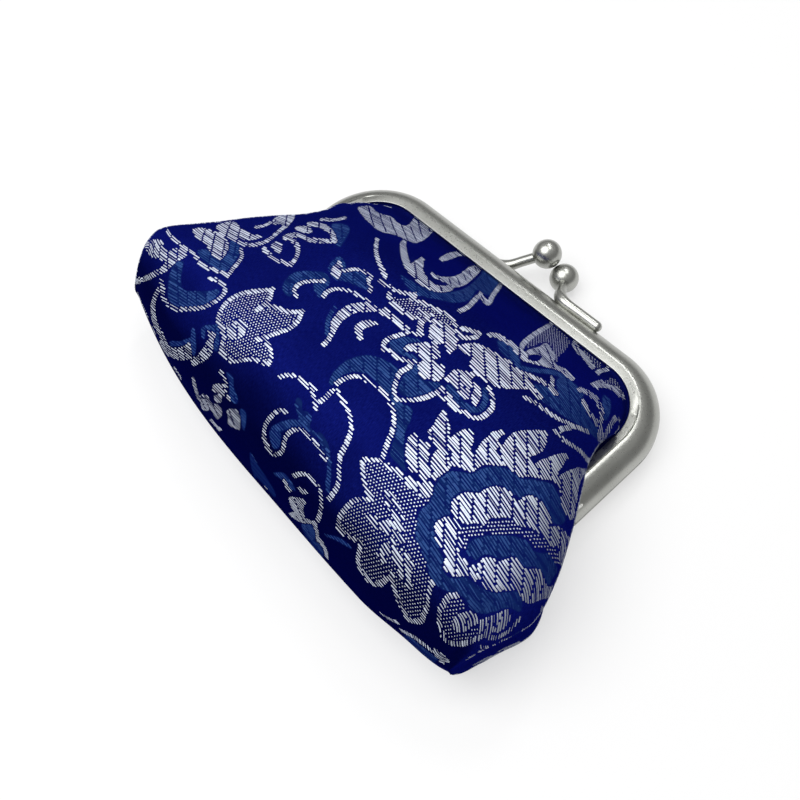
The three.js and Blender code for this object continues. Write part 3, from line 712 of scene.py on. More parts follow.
def back_half(down, _side):
    back = float(read_table(SECTIONS, BACK, down))
    held = held_at(down)
    hold, _, hold_level, _, middle = held
    edge = middle - hold_level
    x, drop = quarter_round(hold, BACK_ROUNDNESS, BACK_STEPS)
    body = np.stack([x, np.maximum(FLOOR_LEVEL, edge + (back - edge) * drop)], axis=1)
    return with_margin(body, held, -1)


def row_points(down, half_of):
    """A whole row from left to right."""
    nearness = float(smooth(down, SEAM_TOP, LAST_ROW))
    halves = []
    for side, corner in ((-1, LEFT_CORNER), (1, RIGHT_CORNER)):
        x, height = half_of(down, side).T
        share = np.minimum(1, x / CORNER_HALF)
        across = x + corner["spread"] * nearness * share
        sag = BOTTOM_SAG * (smooth(side * x, *SAG_START) - SAG_RETURN * smooth(side * x, *SAG_END))
        along = -down + nearness * (corner["lift"] * share ** corner["sharpness"] - sag)
        halves.append(np.stack([side * across, along, height], axis=1))
    return np.concatenate([halves[0][::-1], halves[1][1:]])


def row_depths():
    """Depths of the rows, evenly spaced along the middle of the front."""
    down = np.linspace(FIRST_ROW, LAST_ROW, DEPTH_STEPS)
    line = np.stack([down, read_table(SECTIONS, FRONT, down)], axis=1)
    return resample(line, int(round(path_lengths(line)[-1] / GRID_STEP)) + 1)[:, 0]


def grid_normals(grid):
    return unit(np.cross(np.gradient(grid, axis=0), np.gradient(grid, axis=1)))


def facing(grid, normals):
    """How far each point of the cloth faces the view."""
    return (normals * unit(CAMERA_AT - grid)).sum(axis=2)


DOWNS = row_depths()
SEAM_ROW = int(np.searchsorted(DOWNS, SEAM_TOP))
front_grid = np.array([row_points(down, front_half) for down in DOWNS])
back_grid = np.array([row_points(down, back_half) for down in DOWNS])
front_normal = grid_normals(front_grid)
back_normal = -grid_normals(back_grid)

# Where each point of the cloth stands on the chart. Points turned away from the view take the place of
# their mirrored neighbours, and the back repeats the front. No figure is woven along the turn itself.
front_facing = facing(front_grid, front_normal)
back_facing = facing(back_grid, back_normal)
front_place = project(front_grid)
turned_away = front_facing < FACING_VIEW
front_place[turned_away] = front_place[:, ::-1][turned_away]
back_place = np.where((back_facing > FACING_VIEW)[..., None], project(back_grid), front_place)
front_bare, back_bare = (np.abs(f - BARE_MIDDLE) < BARE_REACH for f in (front_facing, back_facing))
front_bare[SEAM_ROW:, :SEAM_BARE] = True
front_bare[SEAM_ROW:, -SEAM_BARE:] = True


# Chart and weave


def spline(points, closed):
    """A smooth line through points; a doubled point is a corner."""
    count = len(points)
    start, end, leave, arrive = curve_weights(np.linspace(0, 1, SPLINE_STEPS + 1)[:-1, None])
    pieces = []
    for i in range(count if closed else count - 1):
        a, b = points[i], points[(i + 1) % count]
        if np.allclose(a, b):
            continue
        before = points[(i - 1) % count] if closed or i > 0 else a
        after = points[(i + 2) % count] if closed or i + 2 < count else b
        pieces.append(start * a + end * b + leave * ((b - before) / 2) + arrive * ((after - a) / 2))
    if not closed:
        pieces.append(points[-1:])
    return np.concatenate(pieces)


def read_chart(text):
    """Figures of the chart in the order of weaving: kind, width of a stroke and line."""
    rows = []
    for row in text.strip().splitlines():
        head, mark, points = row.rpartition(":")
        if mark:
            kind, _, width = head.partition(" ")
            rows.append((kind, float(width or 0), []))
        rows[-1][2].extend([float(v) for v in pair.split(",")] for pair in points.split())
    rows.sort(key=lambda row: ORDER.index(row[0]))
    return [(kind, width, spline(np.array(points), kind != "line")) for kind, width, points in rows]


FIGURES = read_chart(CHART)


def line_distance(samples, line, closed):
    start = line if closed else line[:-1]
    end = np.roll(line, -1, axis=0) if closed else line[1:]
    leg = end - start
    away = samples[:, None, :] - start
    part = np.clip((away * leg).sum(axis=2) / np.maximum((leg ** 2).sum(axis=1), TINY), 0, 1)
    gap = away - part[..., None] * leg
    return np.sqrt((gap ** 2).sum(axis=2).min(axis=1))


def is_inside(samples, line):
    x, y = samples[:, :1], samples[:, 1:]
    ax, ay = line[:, 0], line[:, 1]
    bx, by = np.roll(ax, -1), np.roll(ay, -1)
    crosses = (ay > y) != (by > y)
    reach = ax + (y - ay) / np.where(by == ay, TINY, by - ay) * (bx - ax)
    return (crosses & (x < reach)).sum(axis=1) % 2 == 1


def figure_depths(samples):
    """Each figure of the chart in turn: its kind, the samples near it and how far inside they lie."""
    for kind, width, line in FIGURES:
        low, high = line.min(axis=0) - CHART_MARGIN, line.max(axis=0) + CHART_MARGIN
        near = np.flatnonzero(((samples > low) & (samples < high)).all(axis=1))
        if len(near) == 0:
            continue
        gap = line_distance(samples[near], line, kind != "line")
        if kind in ("line", "edge"):
            yield kind, near, LINE_SHARE * width / 2 - gap
        else:
            grown = WHITE_GROWTH if kind == "white" else 0
            yield kind, near, np.where(is_inside(samples[near], line), gap, -gap) + grown


def blue_depth(places, bare):
    """How far inside the slate-blue figures each place lies, in pixels."""
    samples = places.reshape(-1, 2)
    depth = np.full(len(samples), -float(CHART_MARGIN))
    for kind, near, inside in figure_depths(samples):
        if kind == "blue":
            depth[near] = np.maximum(depth[near], inside)
        elif kind != "specks":
            depth[near] = np.minimum(depth[near], -inside)
    return np.where(bare, -CHART_MARGIN, depth.reshape(bare.shape))


GROUND_CODE, SILVER_CODE, DOT_CODE, SLATE_CODE, SPECK_CODE = range(5)
CODES = {"ground": GROUND_CODE, "dots": DOT_CODE, "blue": SLATE_CODE, "specks": SPECK_CODE}


def thread_codes(samples):
    """Which thread shows at each place: ground, silver, dots, slate or specks."""
    code = np.full(len(samples), GROUND_CODE)
    for kind, near, inside in figure_depths(samples):
        code[near[inside > 0]] = CODES.get(kind, SILVER_CODE)
    return code


def grid_read(grid, row, column):
    """A grid read between its points."""
    r = np.clip(np.floor(row).astype(int), 0, grid.shape[0] - 2)
    c = np.clip(np.floor(column).astype(int), 0, grid.shape[1] - 2)
    fr = (row - r)[..., None]
    fc = (column - c)[..., None]
    top = grid[r, c] * (1 - fc) + grid[r, c + 1] * fc
    below = grid[r + 1, c] * (1 - fc) + grid[r + 1, c + 1] * fc
    return top * (1 - fr) + below * fr


def arc_along(grid):
    """Distance of each point of the grid along its row, from the middle."""
    steps = np.linalg.norm(np.diff(grid, axis=1), axis=2)
    along = np.concatenate([np.zeros((len(grid), 1)), np.cumsum(steps, axis=1)], axis=1)
    middle = grid.shape[1] // 2
    return along - along[:, middle:middle + 1]


def weft_rows(grid):
    """Grid rows at which each weft thread crosses each column, counted down from the frame.

    A thread that has run out at the bottom has a row past the last one there.
    """
    across = unit(np.gradient(grid, axis=1))
    across = unit(across[1:] + across[:-1])
    along = np.diff(grid, axis=0)
    square = along - (along * across).sum(axis=2, keepdims=True) * across
    depth = np.cumsum(np.linalg.norm(square, axis=2), axis=0)
    depth = np.concatenate([np.zeros((1, grid.shape[1])), depth])
    depth -= WEFT_DROOP * np.maximum(0, arc_along(grid) - DROOP_FROM) ** 2
    rows = np.arange(len(grid))
    levels = np.arange(WEFT_PITCH, depth.max(), WEFT_PITCH)
    columns = [np.interp(levels, down, rows, left=-1, right=len(grid)) for down in depth.T]
    return np.stack(columns, axis=1)


def weft_lines(grid):
    """Samples along every weft thread: distance from the middle, grid row and column."""
    columns = np.arange(grid.shape[1])
    fine = np.arange(MARGIN_COLUMNS + 1, grid.shape[1] - 2 - MARGIN_COLUMNS, COLUMN_STEP)
    lines = []
    for weft in weft_rows(grid):
        along = path_lengths(grid_read(grid, np.interp(fine, columns, weft), fine))
        along -= np.interp((grid.shape[1] - 1) / 2, fine, along)
        at = np.arange(along[0], along[-1], FLOAT_SAMPLE)
        column = np.interp(at, along, fine)
        lines.append((at, np.interp(column, columns, weft), column))
    return lines


def tied_down(begin, finish, shift):
    """Stretches of a float: a long one is tied down at the ticks of a twill."""
    if finish - begin < FLOAT_SHORTEST:
        middle = (begin + finish) / 2
        return [(middle - FLOAT_SHORTEST / 2, middle + FLOAT_SHORTEST / 2)]
    cuts = [begin]
    if finish - begin > TICK_FROM:
        tick = math.ceil((begin + TICK_CLEAR - shift) / TICK_PERIOD) * TICK_PERIOD + shift
        while tick < finish - TICK_CLEAR:
            cuts.extend([tick - TICK_GAP / 2, tick + TICK_GAP / 2])
            tick += TICK_PERIOD
    cuts.append(finish)
    return list(zip(cuts[::2], cuts[1::2]))


def find_floats(grid, places, bare):
    """Silver and slate floats as rows of: number of the weft thread, first column, last column, length."""
    lines = weft_lines(grid)
    samples = [grid_read(places, row, column) for _, row, column in lines]
    codes = np.split(thread_codes(np.concatenate(samples)), np.cumsum([len(s) for s in samples])[:-1])
    silver, slate = [], []
    for index, ((at, row, column), code) in enumerate(zip(lines, codes)):
        plain = grid_read(bare[..., None].astype(float), row, column)[..., 0] > 0.5
        code[(row < 1) | (row > len(grid) - 2) | plain] = GROUND_CODE
        for kind, floats in ((SILVER_CODE, silver), (SLATE_CODE, slate)):
            shown = np.concatenate([[0], (code == kind).astype(int), [0]])
            edges = np.flatnonzero(np.diff(shown))
            for start, end in zip(edges[::2], edges[1::2]):
                for begin, finish in tied_down(at[start], at[end - 1], TICK_SHIFT * index):
                    ends = np.interp([begin, finish], at, column)
                    floats.append((index, *ends, finish - begin))
        centres = np.arange(math.ceil(at[0] / DOT_PITCH), math.floor(at[-1] / DOT_PITCH)) * DOT_PITCH
        centres = centres + DOT_PITCH / 2 * (index % 2)
        dotted = code[np.clip(np.searchsorted(at, centres), 0, len(at) - 1)]
        for kind, floats in ((DOT_CODE, silver), (SPECK_CODE, slate)):
            for centre in centres[dotted == kind]:
                ends = np.interp([centre - DOT_LENGTH / 2, centre + DOT_LENGTH / 2], at, column)
                floats.append((index, *ends, DOT_LENGTH))
    return silver, slate


# Cloth and threads as meshes


def link_object(name, data):
    obj = bpy.data.objects.new(name, data)
    bpy.context.collection.objects.link(obj)
    return obj


def new_object(name, mesh, material):
    obj = link_object(name, mesh)
    mesh.materials.append(material)
    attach(obj, "root")
    return obj


def new_mesh(name, points, faces):
    """A smooth mesh from points of the purse in millimetres."""
    mesh = bpy.data.meshes.new(name)
    mesh.from_pydata(to_part(points).tolist(), [], faces)
    mesh.shade_smooth()
    return mesh


def set_attribute(mesh, name, values):
    mesh.attributes.new(name, "FLOAT", "POINT").data.foreach_set("value", values.reshape(-1))


def grid_quads(index):
    """Quads between the points of a grid, or of each grid of a stack, given by their numbers."""
    corners = [index[..., :-1, :-1], index[..., 1:, :-1], index[..., 1:, 1:], index[..., :-1, 1:]]
    return np.stack(corners, axis=-1).reshape(-1, 4)


def float_mesh(name, floats, grid, normals, seed, share, height, stray):
    """All floats of one face as one mesh: flattened half-round threads with rounded ends."""
    rng = np.random.default_rng(seed)
    wefts = weft_rows(grid)[:, :, None]
    groups = {}
    for thread in floats:
        inner = max(1, math.ceil((thread[-1] - 2 * FLOAT_END) / FLOAT_SEGMENT))
        groups.setdefault(inner, []).append(thread)
    points, faces, tones, painted_side_shade = [], [], [], []
    start = 0
    offsets, heights = np.array(THREAD_SECTION).T
    ring = len(offsets)
    for inner, members in sorted(groups.items()):
        number, first, last, length = np.array(members).T[:, :, None]
        end = np.minimum(FLOAT_END / length, END_SHARE)
        part = end + (1 - 2 * end) * np.linspace(0, 1, inner + 1)
        part = np.concatenate([np.zeros_like(end), part, np.ones_like(end)], axis=1)
        count, long = part.shape
        number = np.repeat(number, long, axis=1)
        column = first + (last - first) * part
        row, after, before = (
            grid_read(wefts, np.clip(number + step, 0, len(wefts) - 1), column)[..., 0]
            for step in (0, 1, -1)
        )
        centre = grid_read(grid, row, column)
        normal = unit(grid_read(normals, row, column))
        side = unit(np.cross(normal, unit(np.gradient(centre, axis=1))))
        lift = np.ones(long)
        lift[[0, -1]] = 0
        full = np.where(lift > 0, 1, END_WIDTH)
        size = np.clip(1 + SIZE_SPREAD * rng.standard_normal((count, 1)), *SIZE_RANGE)
        size = np.where(length > DOT_LENGTH + FLOAT_SAMPLE, size, DOT_SHARE / share)
        shift = np.clip(stray * rng.standard_normal((count, 1, 1)), -STRAY_MOST, STRAY_MOST)
        centre = centre + side * shift
        span = grid_read(grid, after, column) - grid_read(grid, before, column)
        pitch = np.abs((span * side).sum(axis=2)) / 2
        free = smooth(row, *FRAME_ROWS)
        under = smooth(-normal[..., 1], *UNDER_TURN)
        narrow = lerp(FRAME_THREAD, 1, free) * lerp(1, UNDER_THREAD, under)
        half = share / 2 * np.minimum(pitch, WEFT_PITCH) * full * size * narrow
        rise = height * lift * size
        spot = (centre[:, :, None, :]
                + side[:, :, None, :] * (half[:, :, None] * offsets)[..., None]
                + normal[:, :, None, :] * (rise[:, :, None] * heights - FLOAT_SINK)[..., None])
        points.append(spot.reshape(-1, 3))
        faces.append(grid_quads(start + np.arange(count * long * ring).reshape(count, long, ring)))
        tones.append(np.repeat(rng.random(count), long * ring))
        # Painted shade: how far the cloth under each thread has turned to the right.
        painted_side_shade.append(np.repeat(smooth(normal[..., 0], *PAINTED_SIDE_SHADE_TURN).reshape(-1), ring))
        start += count * long * ring
    mesh = new_mesh(name, np.concatenate(points), np.concatenate(faces).tolist())
    set_attribute(mesh, "tone", np.concatenate(tones))
    set_attribute(mesh, "painted_side_shade", np.concatenate(painted_side_shade))
    return mesh


def cloth_mesh(name):
    """Front, back, the fold at the bottom and the side seams as one open bag."""
    rows, columns = front_grid.shape[:2]
    part = (np.arange(BOTTOM_ROWS) + 1) / (BOTTOM_ROWS + 1)
    share = np.abs(front_grid[-1, :, 0]) / np.abs(front_grid[-1, :, 0]).max()
    fold = lerp(front_grid[-1], back_grid[-1], part[:, None, None])
    fold[:, :, 1] -= BOTTOM_BULGE * np.sin(math.pi * part)[:, None] * (1 - share ** BULGE_SHARPNESS)
    sheet = np.concatenate([front_grid, fold, back_grid[::-1]])
    index = np.arange(sheet.shape[0] * columns).reshape(sheet.shape[0], columns)
    quads = [grid_quads(index)]
    for column, turn in ((0, 1), (columns - 1, -1)):
        a, b = index[SEAM_ROW:rows, column], index[::-1][SEAM_ROW:rows, column]
        strip = np.stack([a[:-1], b[:-1], b[1:], a[1:]], axis=1)
        quads.append(strip[:, ::turn])
    mesh = new_mesh(name, sheet.reshape(-1, 3), np.concatenate(quads).tolist())
    depth = blue_depth(front_place, front_bare)
    back_depth = blue_depth(back_place, back_bare)[::-1]
    fold_depth = np.repeat(depth[-1:], BOTTOM_ROWS, axis=0)
    set_attribute(mesh, "blue", np.concatenate([depth, fold_depth, back_depth]))
    # Painted shade: the front darkens as it turns down to the bottom, the fold fully, the back not at all.
    painted_shade = smooth(-front_normal[:, :, 1], *PAINTED_SHADE_TURN)
    fold_painted_shade = np.ones((BOTTOM_ROWS, columns))
    set_attribute(mesh, "painted_shade", np.concatenate([painted_shade, fold_painted_shade, np.zeros_like(painted_shade)]))
    along = np.concatenate([arc_along(front_grid), arc_along(fold), arc_along(back_grid[::-1])])
    across = np.repeat(np.arange(sheet.shape[0])[:, None] * GRID_STEP, columns, axis=1)
    flat = np.stack([along, across], axis=-1).reshape(-1, 2) * UV_SCALE
    loops = np.empty(len(mesh.loops), int)
    mesh.loops.foreach_get("vertex_index", loops)
    mesh.uv_layers.new(name="cloth").data.foreach_set("uv", flat[loops].reshape(-1))
    return mesh


# Metal


class Parts:
    """Points and faces of one piece, gathered from its surfaces."""

    def __init__(self):
        self.points = []
        self.faces = []

    def add(self, points, faces):
        start = len(self.points)
        self.points.extend([tuple(p) for p in points])
        self.faces.extend([tuple(int(i) + start for i in face) for face in faces])

    def add_tube(self, rings):
        """Quads between closed rings of equal length."""
        rings = np.asarray(rings)
        count, size = rings.shape[:2]
        faces = []
        for r in range(count - 1):
            for i in range(size):
                j = (i + 1) % size
                faces.append((r * size + i, r * size + j, (r + 1) * size + j, (r + 1) * size + i))
        self.add(rings.reshape(-1, 3), faces)

    def mesh(self, name):
        mesh = new_mesh(name, np.array(self.points), self.faces)
        mesh.validate()
        mesh.set_sharp_from_angle(angle=math.radians(SHARP_DEGREES))
        return mesh


def bead_arc(across, rise, start, end, steps):
    power = 2 / BEAD_ROUNDNESS
    points = []
    for angle in np.linspace(start, end, steps + 1):
        out = across * max(0, math.cos(angle)) ** power
        up = rise * math.copysign(abs(math.sin(angle)) ** power, math.sin(angle))
        points.append((BEAD_CENTRE[0] + out, BEAD_CENTRE[1] + up))
    return points


def arc_angle(height, rise):
    """Angle at which a bead's arc stands at a height."""
    share = (height - BEAD_CENTRE[1]) / rise
    return math.asin(math.copysign(abs(share) ** (BEAD_ROUNDNESS / 2), share))


def channel_section(crease):
    """Outline of the pressed channel: distance outward from the lip's edge, and height."""
    bead = (FACE_HEIGHT - BEAD_CENTRE[0], HALF_THICKNESS - BEAD_CENTRE[1])
    inner = (bead[0] - BEAD_WALL, bead[1] - BEAD_WALL)
    outline = [(0, LIP_UNDERSIDE)]
    for angle in np.linspace(math.pi, math.pi / 2, LIP_EDGE_STEPS + 1):
        out, drop = 1 + math.cos(angle), 1 - math.sin(angle)
        outline.append((LIP_EDGE_RADIUS * out, LIP_FACE - LIP_EDGE_RADIUS * drop))
    for width, depth in ((CREASE_WIDTH, 0), (CREASE_WIDTH / 2, crease)):
        across = LIP_HEIGHT - width
        outline.append((across, lerp(LIP_FACE, HALF_THICKNESS, across / LIP_HEIGHT) - depth))
    outline += bead_arc(*bead, math.pi / 2, arc_angle(PARTING_GAP, bead[1]), BEAD_STEPS)
    outline += [(INNER_WALL_EDGE, PARTING_GAP), (INNER_WALL_EDGE, CHANNEL_FLOOR)]
    outline += bead_arc(*inner, arc_angle(CHANNEL_FLOOR, inner[1]), math.pi / 2, INNER_BEAD_STEPS)
    return outline


def frame_path():
    """Stations along the inner edge of the U, from the left leg to the right: point and outward angle."""
    radius = CORNER_RADIUS - FACE_HEIGHT
    straight = HALF_WIDTH - CORNER_RADIUS
    left = []
    for part in np.linspace(0, 1, LEG_STEPS)[:-1]:
        left.append((FACE_HEIGHT - HALF_WIDTH, lerp(-LEG_END, -CORNER_RADIUS, part), math.pi))
    for angle in np.linspace(math.pi, math.pi / 2, CORNER_STEPS):
        spot = (-straight + radius * math.cos(angle), -CORNER_RADIUS + radius * math.sin(angle))
        left.append((*spot, angle))
    parts = np.linspace(0, 1, TOP_STEPS)[1:-1]
    top = [(lerp(-straight, straight, part), -FACE_HEIGHT, math.pi / 2) for part in parts]
    return left + top + [(-x, y, math.pi - angle) for x, y, angle in reversed(left)]


def turned(points, face):
    """Points of the front half, or of the back half, which is the same pressing turned round about Y."""
    return np.asarray(points) * (1 if face > 0 else np.array((-1, 1, -1)))


def add_rail(parts, face):
    rings = []
    for x, y, angle in frame_path():
        section = channel_section(CREASE_DEPTH * float(smooth(-y, *CREASE_FROM)))
        rings.append([(x + d * math.cos(angle), y + d * math.sin(angle), h) for d, h in section])
    parts.add_tube(turned(rings, face))
    for ring in (rings[0], rings[-1]):
        flat = [Vector((d, h, 0)) for d, h in section]
        parts.add(turned(ring, face), tessellate_polygon([flat]))


def add_ear(parts, side, ear, face):
    """A hinge ear: a disc with a neck up into the leg and a hole for the rivet."""
    neck_bottom = PARTING_GAP + FIT_GAP
    root = -LEG_END + EAR_ROOT
    outline = [(root, neck_bottom), (root, ear["neck_top"]), (-LEG_END - FIT_GAP, ear["neck_top"])]
    for angle in np.linspace(math.pi / 2, 2 * math.pi, EAR_STEPS):
        outline.append((-HINGE_DOWN + EAR_RADIUS * math.cos(angle), EAR_RADIUS * math.sin(angle)))
    outline.append((-HINGE_DOWN + EAR_RADIUS, neck_bottom))
    hole = [(-HINGE_DOWN + EAR_HOLE * math.cos(angle), EAR_HOLE * math.sin(angle))
            for angle in np.linspace(0, 2 * math.pi, HOLE_STEPS, endpoint=False)]
    near = side * ear["face"]
    far = side * (ear["face"] + EAR_THICKNESS)
    triangles = tessellate_polygon([[Vector((y, z, 0)) for y, z in loop] for loop in (outline, hole)])
    for x in (near, far):
        parts.add(turned([(x, y, z) for y, z in outline + hole], face), triangles)
    for edge in (outline, hole):
        parts.add_tube(turned([[(x, y, z) for y, z in edge] for x in (near, far)], face))


def smooth_path(points, count):
    """Centripetal Catmull-Rom line through points."""
    points = np.array(points, float)
    ends = np.concatenate([[2 * points[0] - points[1]], points, [2 * points[-1] - points[-2]]])
    made = []
    for p0, p1, p2, p3 in zip(ends, ends[1:], ends[2:], ends[3:]):
        t1 = np.linalg.norm(p1 - p0) ** 0.5
        t2 = t1 + np.linalg.norm(p2 - p1) ** 0.5
        t3 = t2 + np.linalg.norm(p3 - p2) ** 0.5
        t = np.linspace(t1, t2, PATH_STEPS)[:-1, None]
        a1 = lerp(p0, p1, t / t1)
        a2 = lerp(p1, p2, (t - t1) / (t2 - t1))
        a3 = lerp(p2, p3, (t - t2) / (t3 - t2))
        b1 = lerp(a1, a2, t / t2)
        b2 = lerp(a2, a3, (t - t1) / (t3 - t1))
        made.append(lerp(b1, b2, (t - t1) / (t2 - t1)))
    return resample(np.concatenate(made + [points[-1:]]), count)


def circle_about(side, other, sides):
    around = np.linspace(0, 2 * math.pi, sides, endpoint=False)[:, None]
    return np.cos(around) * side + np.sin(around) * other


def ball_rings(centre, radius, axis, rings, sides):
    """Rings of a ball about an axis, from one pole to the other."""
    axis = unit(np.array(axis, float))
    side = unit(np.cross(axis, BALL_SIDEWAYS))
    circle = circle_about(side, np.cross(axis, side), sides)
    return [centre + radius * (math.sin(angle) * circle + math.cos(angle) * axis)
            for angle in np.linspace(0, math.pi, rings)]


def add_clasp(parts, clasp, face):
    tip = np.array((clasp["ball"], BALL_HEIGHT, -face * BALL_OFFSET))
    bend = np.array((clasp["foot"], WIRE_HEIGHT, face * WIRE_OFFSET))
    start = np.array((clasp["end"], WIRE_HEIGHT, face * WIRE_OFFSET))
    points = [lerp(start, bend, part) for part in WIRE_POINTS]
    points += [lerp(bend, tip, part) for part in ARM_POINTS]
    line = smooth_path(points, WIRE_RINGS)
    along = unit(np.gradient(line, axis=0))
    side = unit(np.cross(along, (0, 0, 1)))
    swell = 1 + BEND_SWELL * np.exp(-(np.linalg.norm(line - bend, axis=1) / (2 * WIRE_RADIUS)) ** 2)
    sections = zip(line, side, np.cross(along, side), WIRE_RADIUS * swell)
    parts.add_tube([spot + thick * circle_about(a, b, WIRE_SIDES) for spot, a, b, thick in sections])
    parts.add_tube(ball_rings(start, WIRE_RADIUS, start - bend, WIRE_END_RINGS, WIRE_SIDES))
    parts.add_tube(ball_rings(tip, BALL_RADIUS, (0, 0, 1), BALL_RINGS, BALL_SIDES))


def half_frame(name, face, clasp):
    parts = Parts()
    add_rail(parts, face)
    add_ear(parts, 1, OUTER_EAR, face)
    add_ear(parts, -1, INNER_EAR, face)
    add_clasp(parts, clasp, face)
    return parts.mesh(name)


# Materials


def new_material(name, **values):
    """A material, its node tree and its shader, with constant values on the shader's sockets."""
    material = bpy.data.materials.new(name)
    material.use_nodes = True
    tree = material.node_tree
    shader = tree.nodes["Principled BSDF"]
    for key, value in values.items():
        shader.inputs[key].default_value = value
    return material, tree, shader


def node(tree, kind, **values):
    """A node with its settings, constant inputs and links to other nodes' outputs."""
    made = tree.nodes.new(kind)
    for key, value in values.items():
        if key not in made.inputs:
            setattr(made, key, value)
        elif isinstance(value, bpy.types.NodeSocket):
            tree.links.new(value, made.inputs[key])
        else:
            made.inputs[key].default_value = value
    return made


def attribute(tree, name):
    return node(tree, "ShaderNodeAttribute", attribute_name=name).outputs["Fac"]


def object_place(tree):
    return node(tree, "ShaderNodeTexCoord").outputs["Object"]


def mix_colours(tree, factor, a, b):
    made = node(tree, "ShaderNodeMix", data_type="RGBA")
    for number, value in zip(MIX_INPUTS, (factor, a, b)):
        if isinstance(value, bpy.types.NodeSocket):
            tree.links.new(value, made.inputs[number])
        else:
            made.inputs[number].default_value = value
    return made.outputs[MIX_OUTPUT]


def scaled(tree, source, scale):
    return node(tree, "ShaderNodeMapping", Vector=source, Scale=scale).outputs[0]


def noise(tree, source, scale, detail):
    place = scaled(tree, source, scale)
    made = node(tree, "ShaderNodeTexNoise", Vector=place, Scale=1, Detail=detail, Roughness=NOISE_ROUGHNESS)
    return made.outputs["Fac"]


def ramp(tree, source, start, end, low=0.0, high=1.0):
    """A soft step from low to high as the source goes from start to end."""
    ends = {"From Min": start, "From Max": end, "To Min": low, "To Max": high}
    made = node(tree, "ShaderNodeMapRange", interpolation_type="SMOOTHSTEP", Value=source, **ends)
    return made.outputs["Result"]


def add_bump(tree, shader, height, strength, distance):
    bump = node(tree, "ShaderNodeBump", Strength=strength, Distance=distance, Height=height)
    tree.links.new(bump.outputs[0], shader.inputs["Normal"])


def brocade_material():
    fixed = {"Specular IOR Level": 0.0, "Specular Tint": SATIN_SHEEN, "Anisotropic": SATIN_STRETCH}
    material, tree, shader = new_material("brocade", **fixed)
    links = tree.links
    cloth = node(tree, "ShaderNodeUVMap", uv_map="cloth").outputs[0]
    figure = ramp(tree, attribute(tree, "blue"), *FIGURE_EDGE)
    streaks = noise(tree, cloth, **STREAKS)
    ground = mix_colours(tree, ramp(tree, streaks, *STREAK_RANGE), NAVY_DEEP, NAVY)
    patches = ramp(tree, noise(tree, cloth, **PATCHES), *PATCH_RANGE, high=PATCH_AMOUNT)
    ground = mix_colours(tree, patches, ground, NAVY_DEEP)
    # Painted shade darkens the ground where the cloth turns down at the bottom.
    painted_shade = ramp(tree, attribute(tree, "painted_shade"), 0, 1, high=PAINTED_SHADE_AMOUNT)
    ground = mix_colours(tree, painted_shade, ground, NAVY_PAINTED_SHADE)
    place = scaled(tree, cloth, WEFT_WAVE_SCALE)
    weft = node(tree, "ShaderNodeTexWave", bands_direction="Y", Vector=place, **WEFT_WAVE).outputs["Fac"]
    slate = mix_colours(tree, ramp(tree, weft, 0, 1, high=WEFT_AMOUNT), SLATE_DEEP, NAVY_DEEP)
    links.new(mix_colours(tree, figure, ground, slate), shader.inputs["Base Color"])
    links.new(ramp(tree, figure, 0, 1, *SATIN_ROUGHNESS), shader.inputs["Roughness"])
    links.new(ramp(tree, figure, 0, 1, *SATIN_METALLIC), shader.inputs["Metallic"])
    tangent = node(tree, "ShaderNodeTangent", direction_type="UV_MAP", uv_map="cloth")
    links.new(tangent.outputs[0], shader.inputs["Tangent"])
    add_bump(tree, shader, streaks, **SATIN_BUMP)
    return material


def thread_material(name, colours, metallic, roughness, gloss, variety):
    material, tree, shader = new_material(name, **{"Metallic": metallic, "Specular IOR Level": gloss})
    bright, dull, deep, painted_side_shade_colour = colours
    spot = object_place(tree)
    fibres = noise(tree, spot, **FIBRES)
    thread = mix_colours(tree, ramp(tree, fibres, *NOISE_RANGE), dull, bright)
    for amount, colour in (
        (ramp(tree, attribute(tree, "tone"), 0, 1, high=variety), dull),
        (ramp(tree, noise(tree, spot, **BLOTCHES), *BLOTCH_RANGE, high=BLOTCH_AMOUNT), deep),
        # Painted shade darkens the thread where the cloth turns to the right.
        (ramp(tree, attribute(tree, "painted_side_shade"), 0, 1, high=PAINTED_SIDE_SHADE_AMOUNT), painted_side_shade_colour),
    ):
        thread = mix_colours(tree, amount, thread, colour)
    tree.links.new(thread, shader.inputs["Base Color"])
    rough = ramp(tree, fibres, *GRAIN_RANGE, roughness, roughness + ROUGHNESS_SPREAD)
    tree.links.new(rough, shader.inputs["Roughness"])
    add_bump(tree, shader, fibres, **THREAD_BUMP)
    return material


def nickel_material():
    material, tree, shader = new_material("satin_nickel", Metallic=1.0)
    spot = object_place(tree)
    cloud = ramp(tree, noise(tree, spot, **NICKEL_CLOUD), *NOISE_RANGE)
    tree.links.new(mix_colours(tree, cloud, NICKEL, NICKEL_DARK), shader.inputs["Base Color"])
    rough = ramp(tree, noise(tree, spot, **NICKEL_GRAIN), *GRAIN_RANGE, *NICKEL_ROUGHNESS)
    tree.links.new(rough, shader.inputs["Roughness"])
    return material


def floor_material():
    material, tree, shader = new_material("pale_floor", **FLOOR_LOOK)
    cloud = noise(tree, object_place(tree), **FLOOR_CLOUD)
    tree.links.new(mix_colours(tree, cloud, *FLOOR_TONES), shader.inputs["Base Color"])
    return material


# Pieces

brocade = brocade_material()
silver = thread_material("silver_thread", **SILVER_LOOK)
slate = thread_material("slate_thread", **SLATE_LOOK)
nickel = nickel_material()

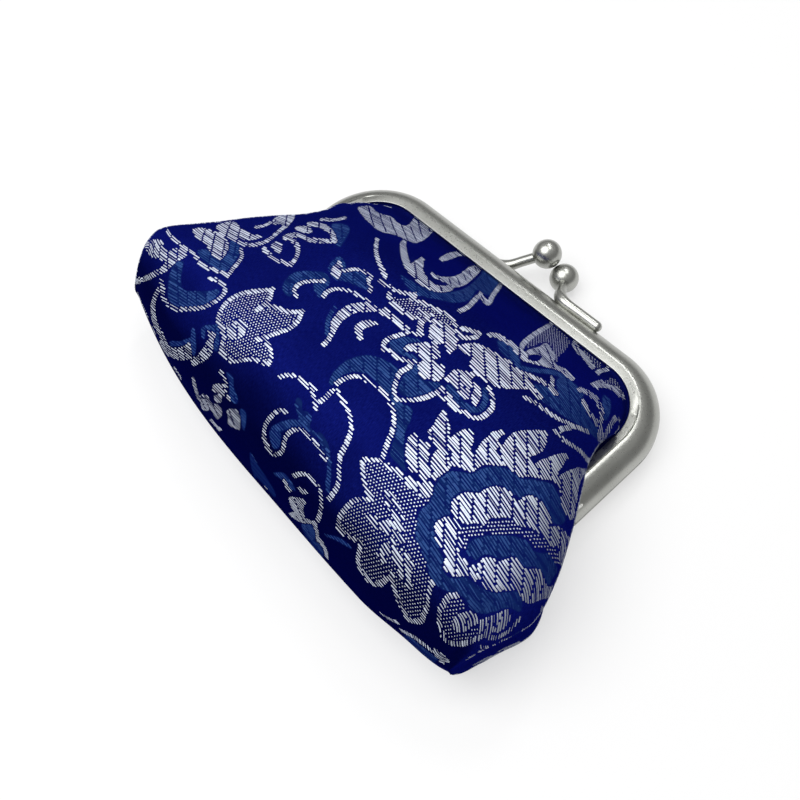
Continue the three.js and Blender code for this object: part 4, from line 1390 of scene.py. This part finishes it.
cloth = new_object("brocade_cloth", cloth_mesh("brocade_cloth"), brocade)
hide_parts("pouch")
for face, grid, normals, places, bare, seed in (
    ("front", front_grid, front_normal, front_place, front_bare, FRONT_SEED),
    ("back", back_grid, back_normal, back_place, back_bare, BACK_SEED),
):
    silver_floats, slate_floats = find_floats(grid, places, bare)
    for name, floats, material, size in (
        ("silver_" + face, silver_floats, silver, SILVER_FLOAT),
        ("slate_" + face, slate_floats, slate, SLATE_FLOAT),
    ):
        threads = new_object(name, float_mesh(name, floats, grid, normals, seed, **size), material)
for name, face, clasp in (("front_frame", 1, FRONT_CLASP), ("back_frame", -1, BACK_CLASP)):
    metal = new_object(name + "_metal", half_frame(name + "_metal", face, clasp), nickel)
    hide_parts(name)
for name in ("rivet_left", "rivet_right"):
    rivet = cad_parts[name]
    if not rivet.material_slots:
        rivet.data.materials.append(nickel)
    for slot in rivet.material_slots:
        slot.material = nickel

# Stage


def add_floor():
    mesh = bpy.data.meshes.new("floor")
    corners = [(FLOOR_REACH * x, FLOOR_REACH * y, 0) for x, y in ((-1, -1), (1, -1), (1, 1), (-1, 1))]
    mesh.from_pydata(corners, [], [(0, 1, 2, 3)])
    floor = link_object("floor", mesh)
    mesh.materials.append(floor_material())


def add_softbox(name, direction, distance, size, watts):
    light = bpy.data.lights.new(name, "AREA")
    light.shape = "DISK"
    light.size = size
    light.energy = watts
    lamp = link_object(name, light)
    aim = Vector(direction).normalized()
    lamp.location = Vector(LIGHT_CENTRE) + aim * distance
    lamp.rotation_euler = aim.to_track_quat("Z", "Y").to_euler()


add_floor()
for softbox in SOFTBOXES:
    add_softbox(**softbox)

world = bpy.data.worlds.new("studio")
world.use_nodes = True
world.node_tree.nodes["Background"].inputs["Color"].default_value = WHITE
world.node_tree.nodes["Background"].inputs["Strength"].default_value = WORLD_LIGHT
bpy.context.scene.world = world
bpy.context.scene.view_settings.view_transform = "Standard"

lens = bpy.data.cameras.new("camera")
lens.sensor_width = SENSOR
lens.lens = FOCAL_PIXELS / FRAME_PIXELS * SENSOR
lens.clip_start = CLIP_START
camera = link_object("camera", lens)
turn = Matrix((CAMERA_RIGHT, CAMERA_UP, CAMERA_BACK)).transposed().to_4x4()
camera.matrix_world = Matrix.Translation(Vector(to_part(CAMERA_AT))) @ turn
bpy.context.scene.camera = camera
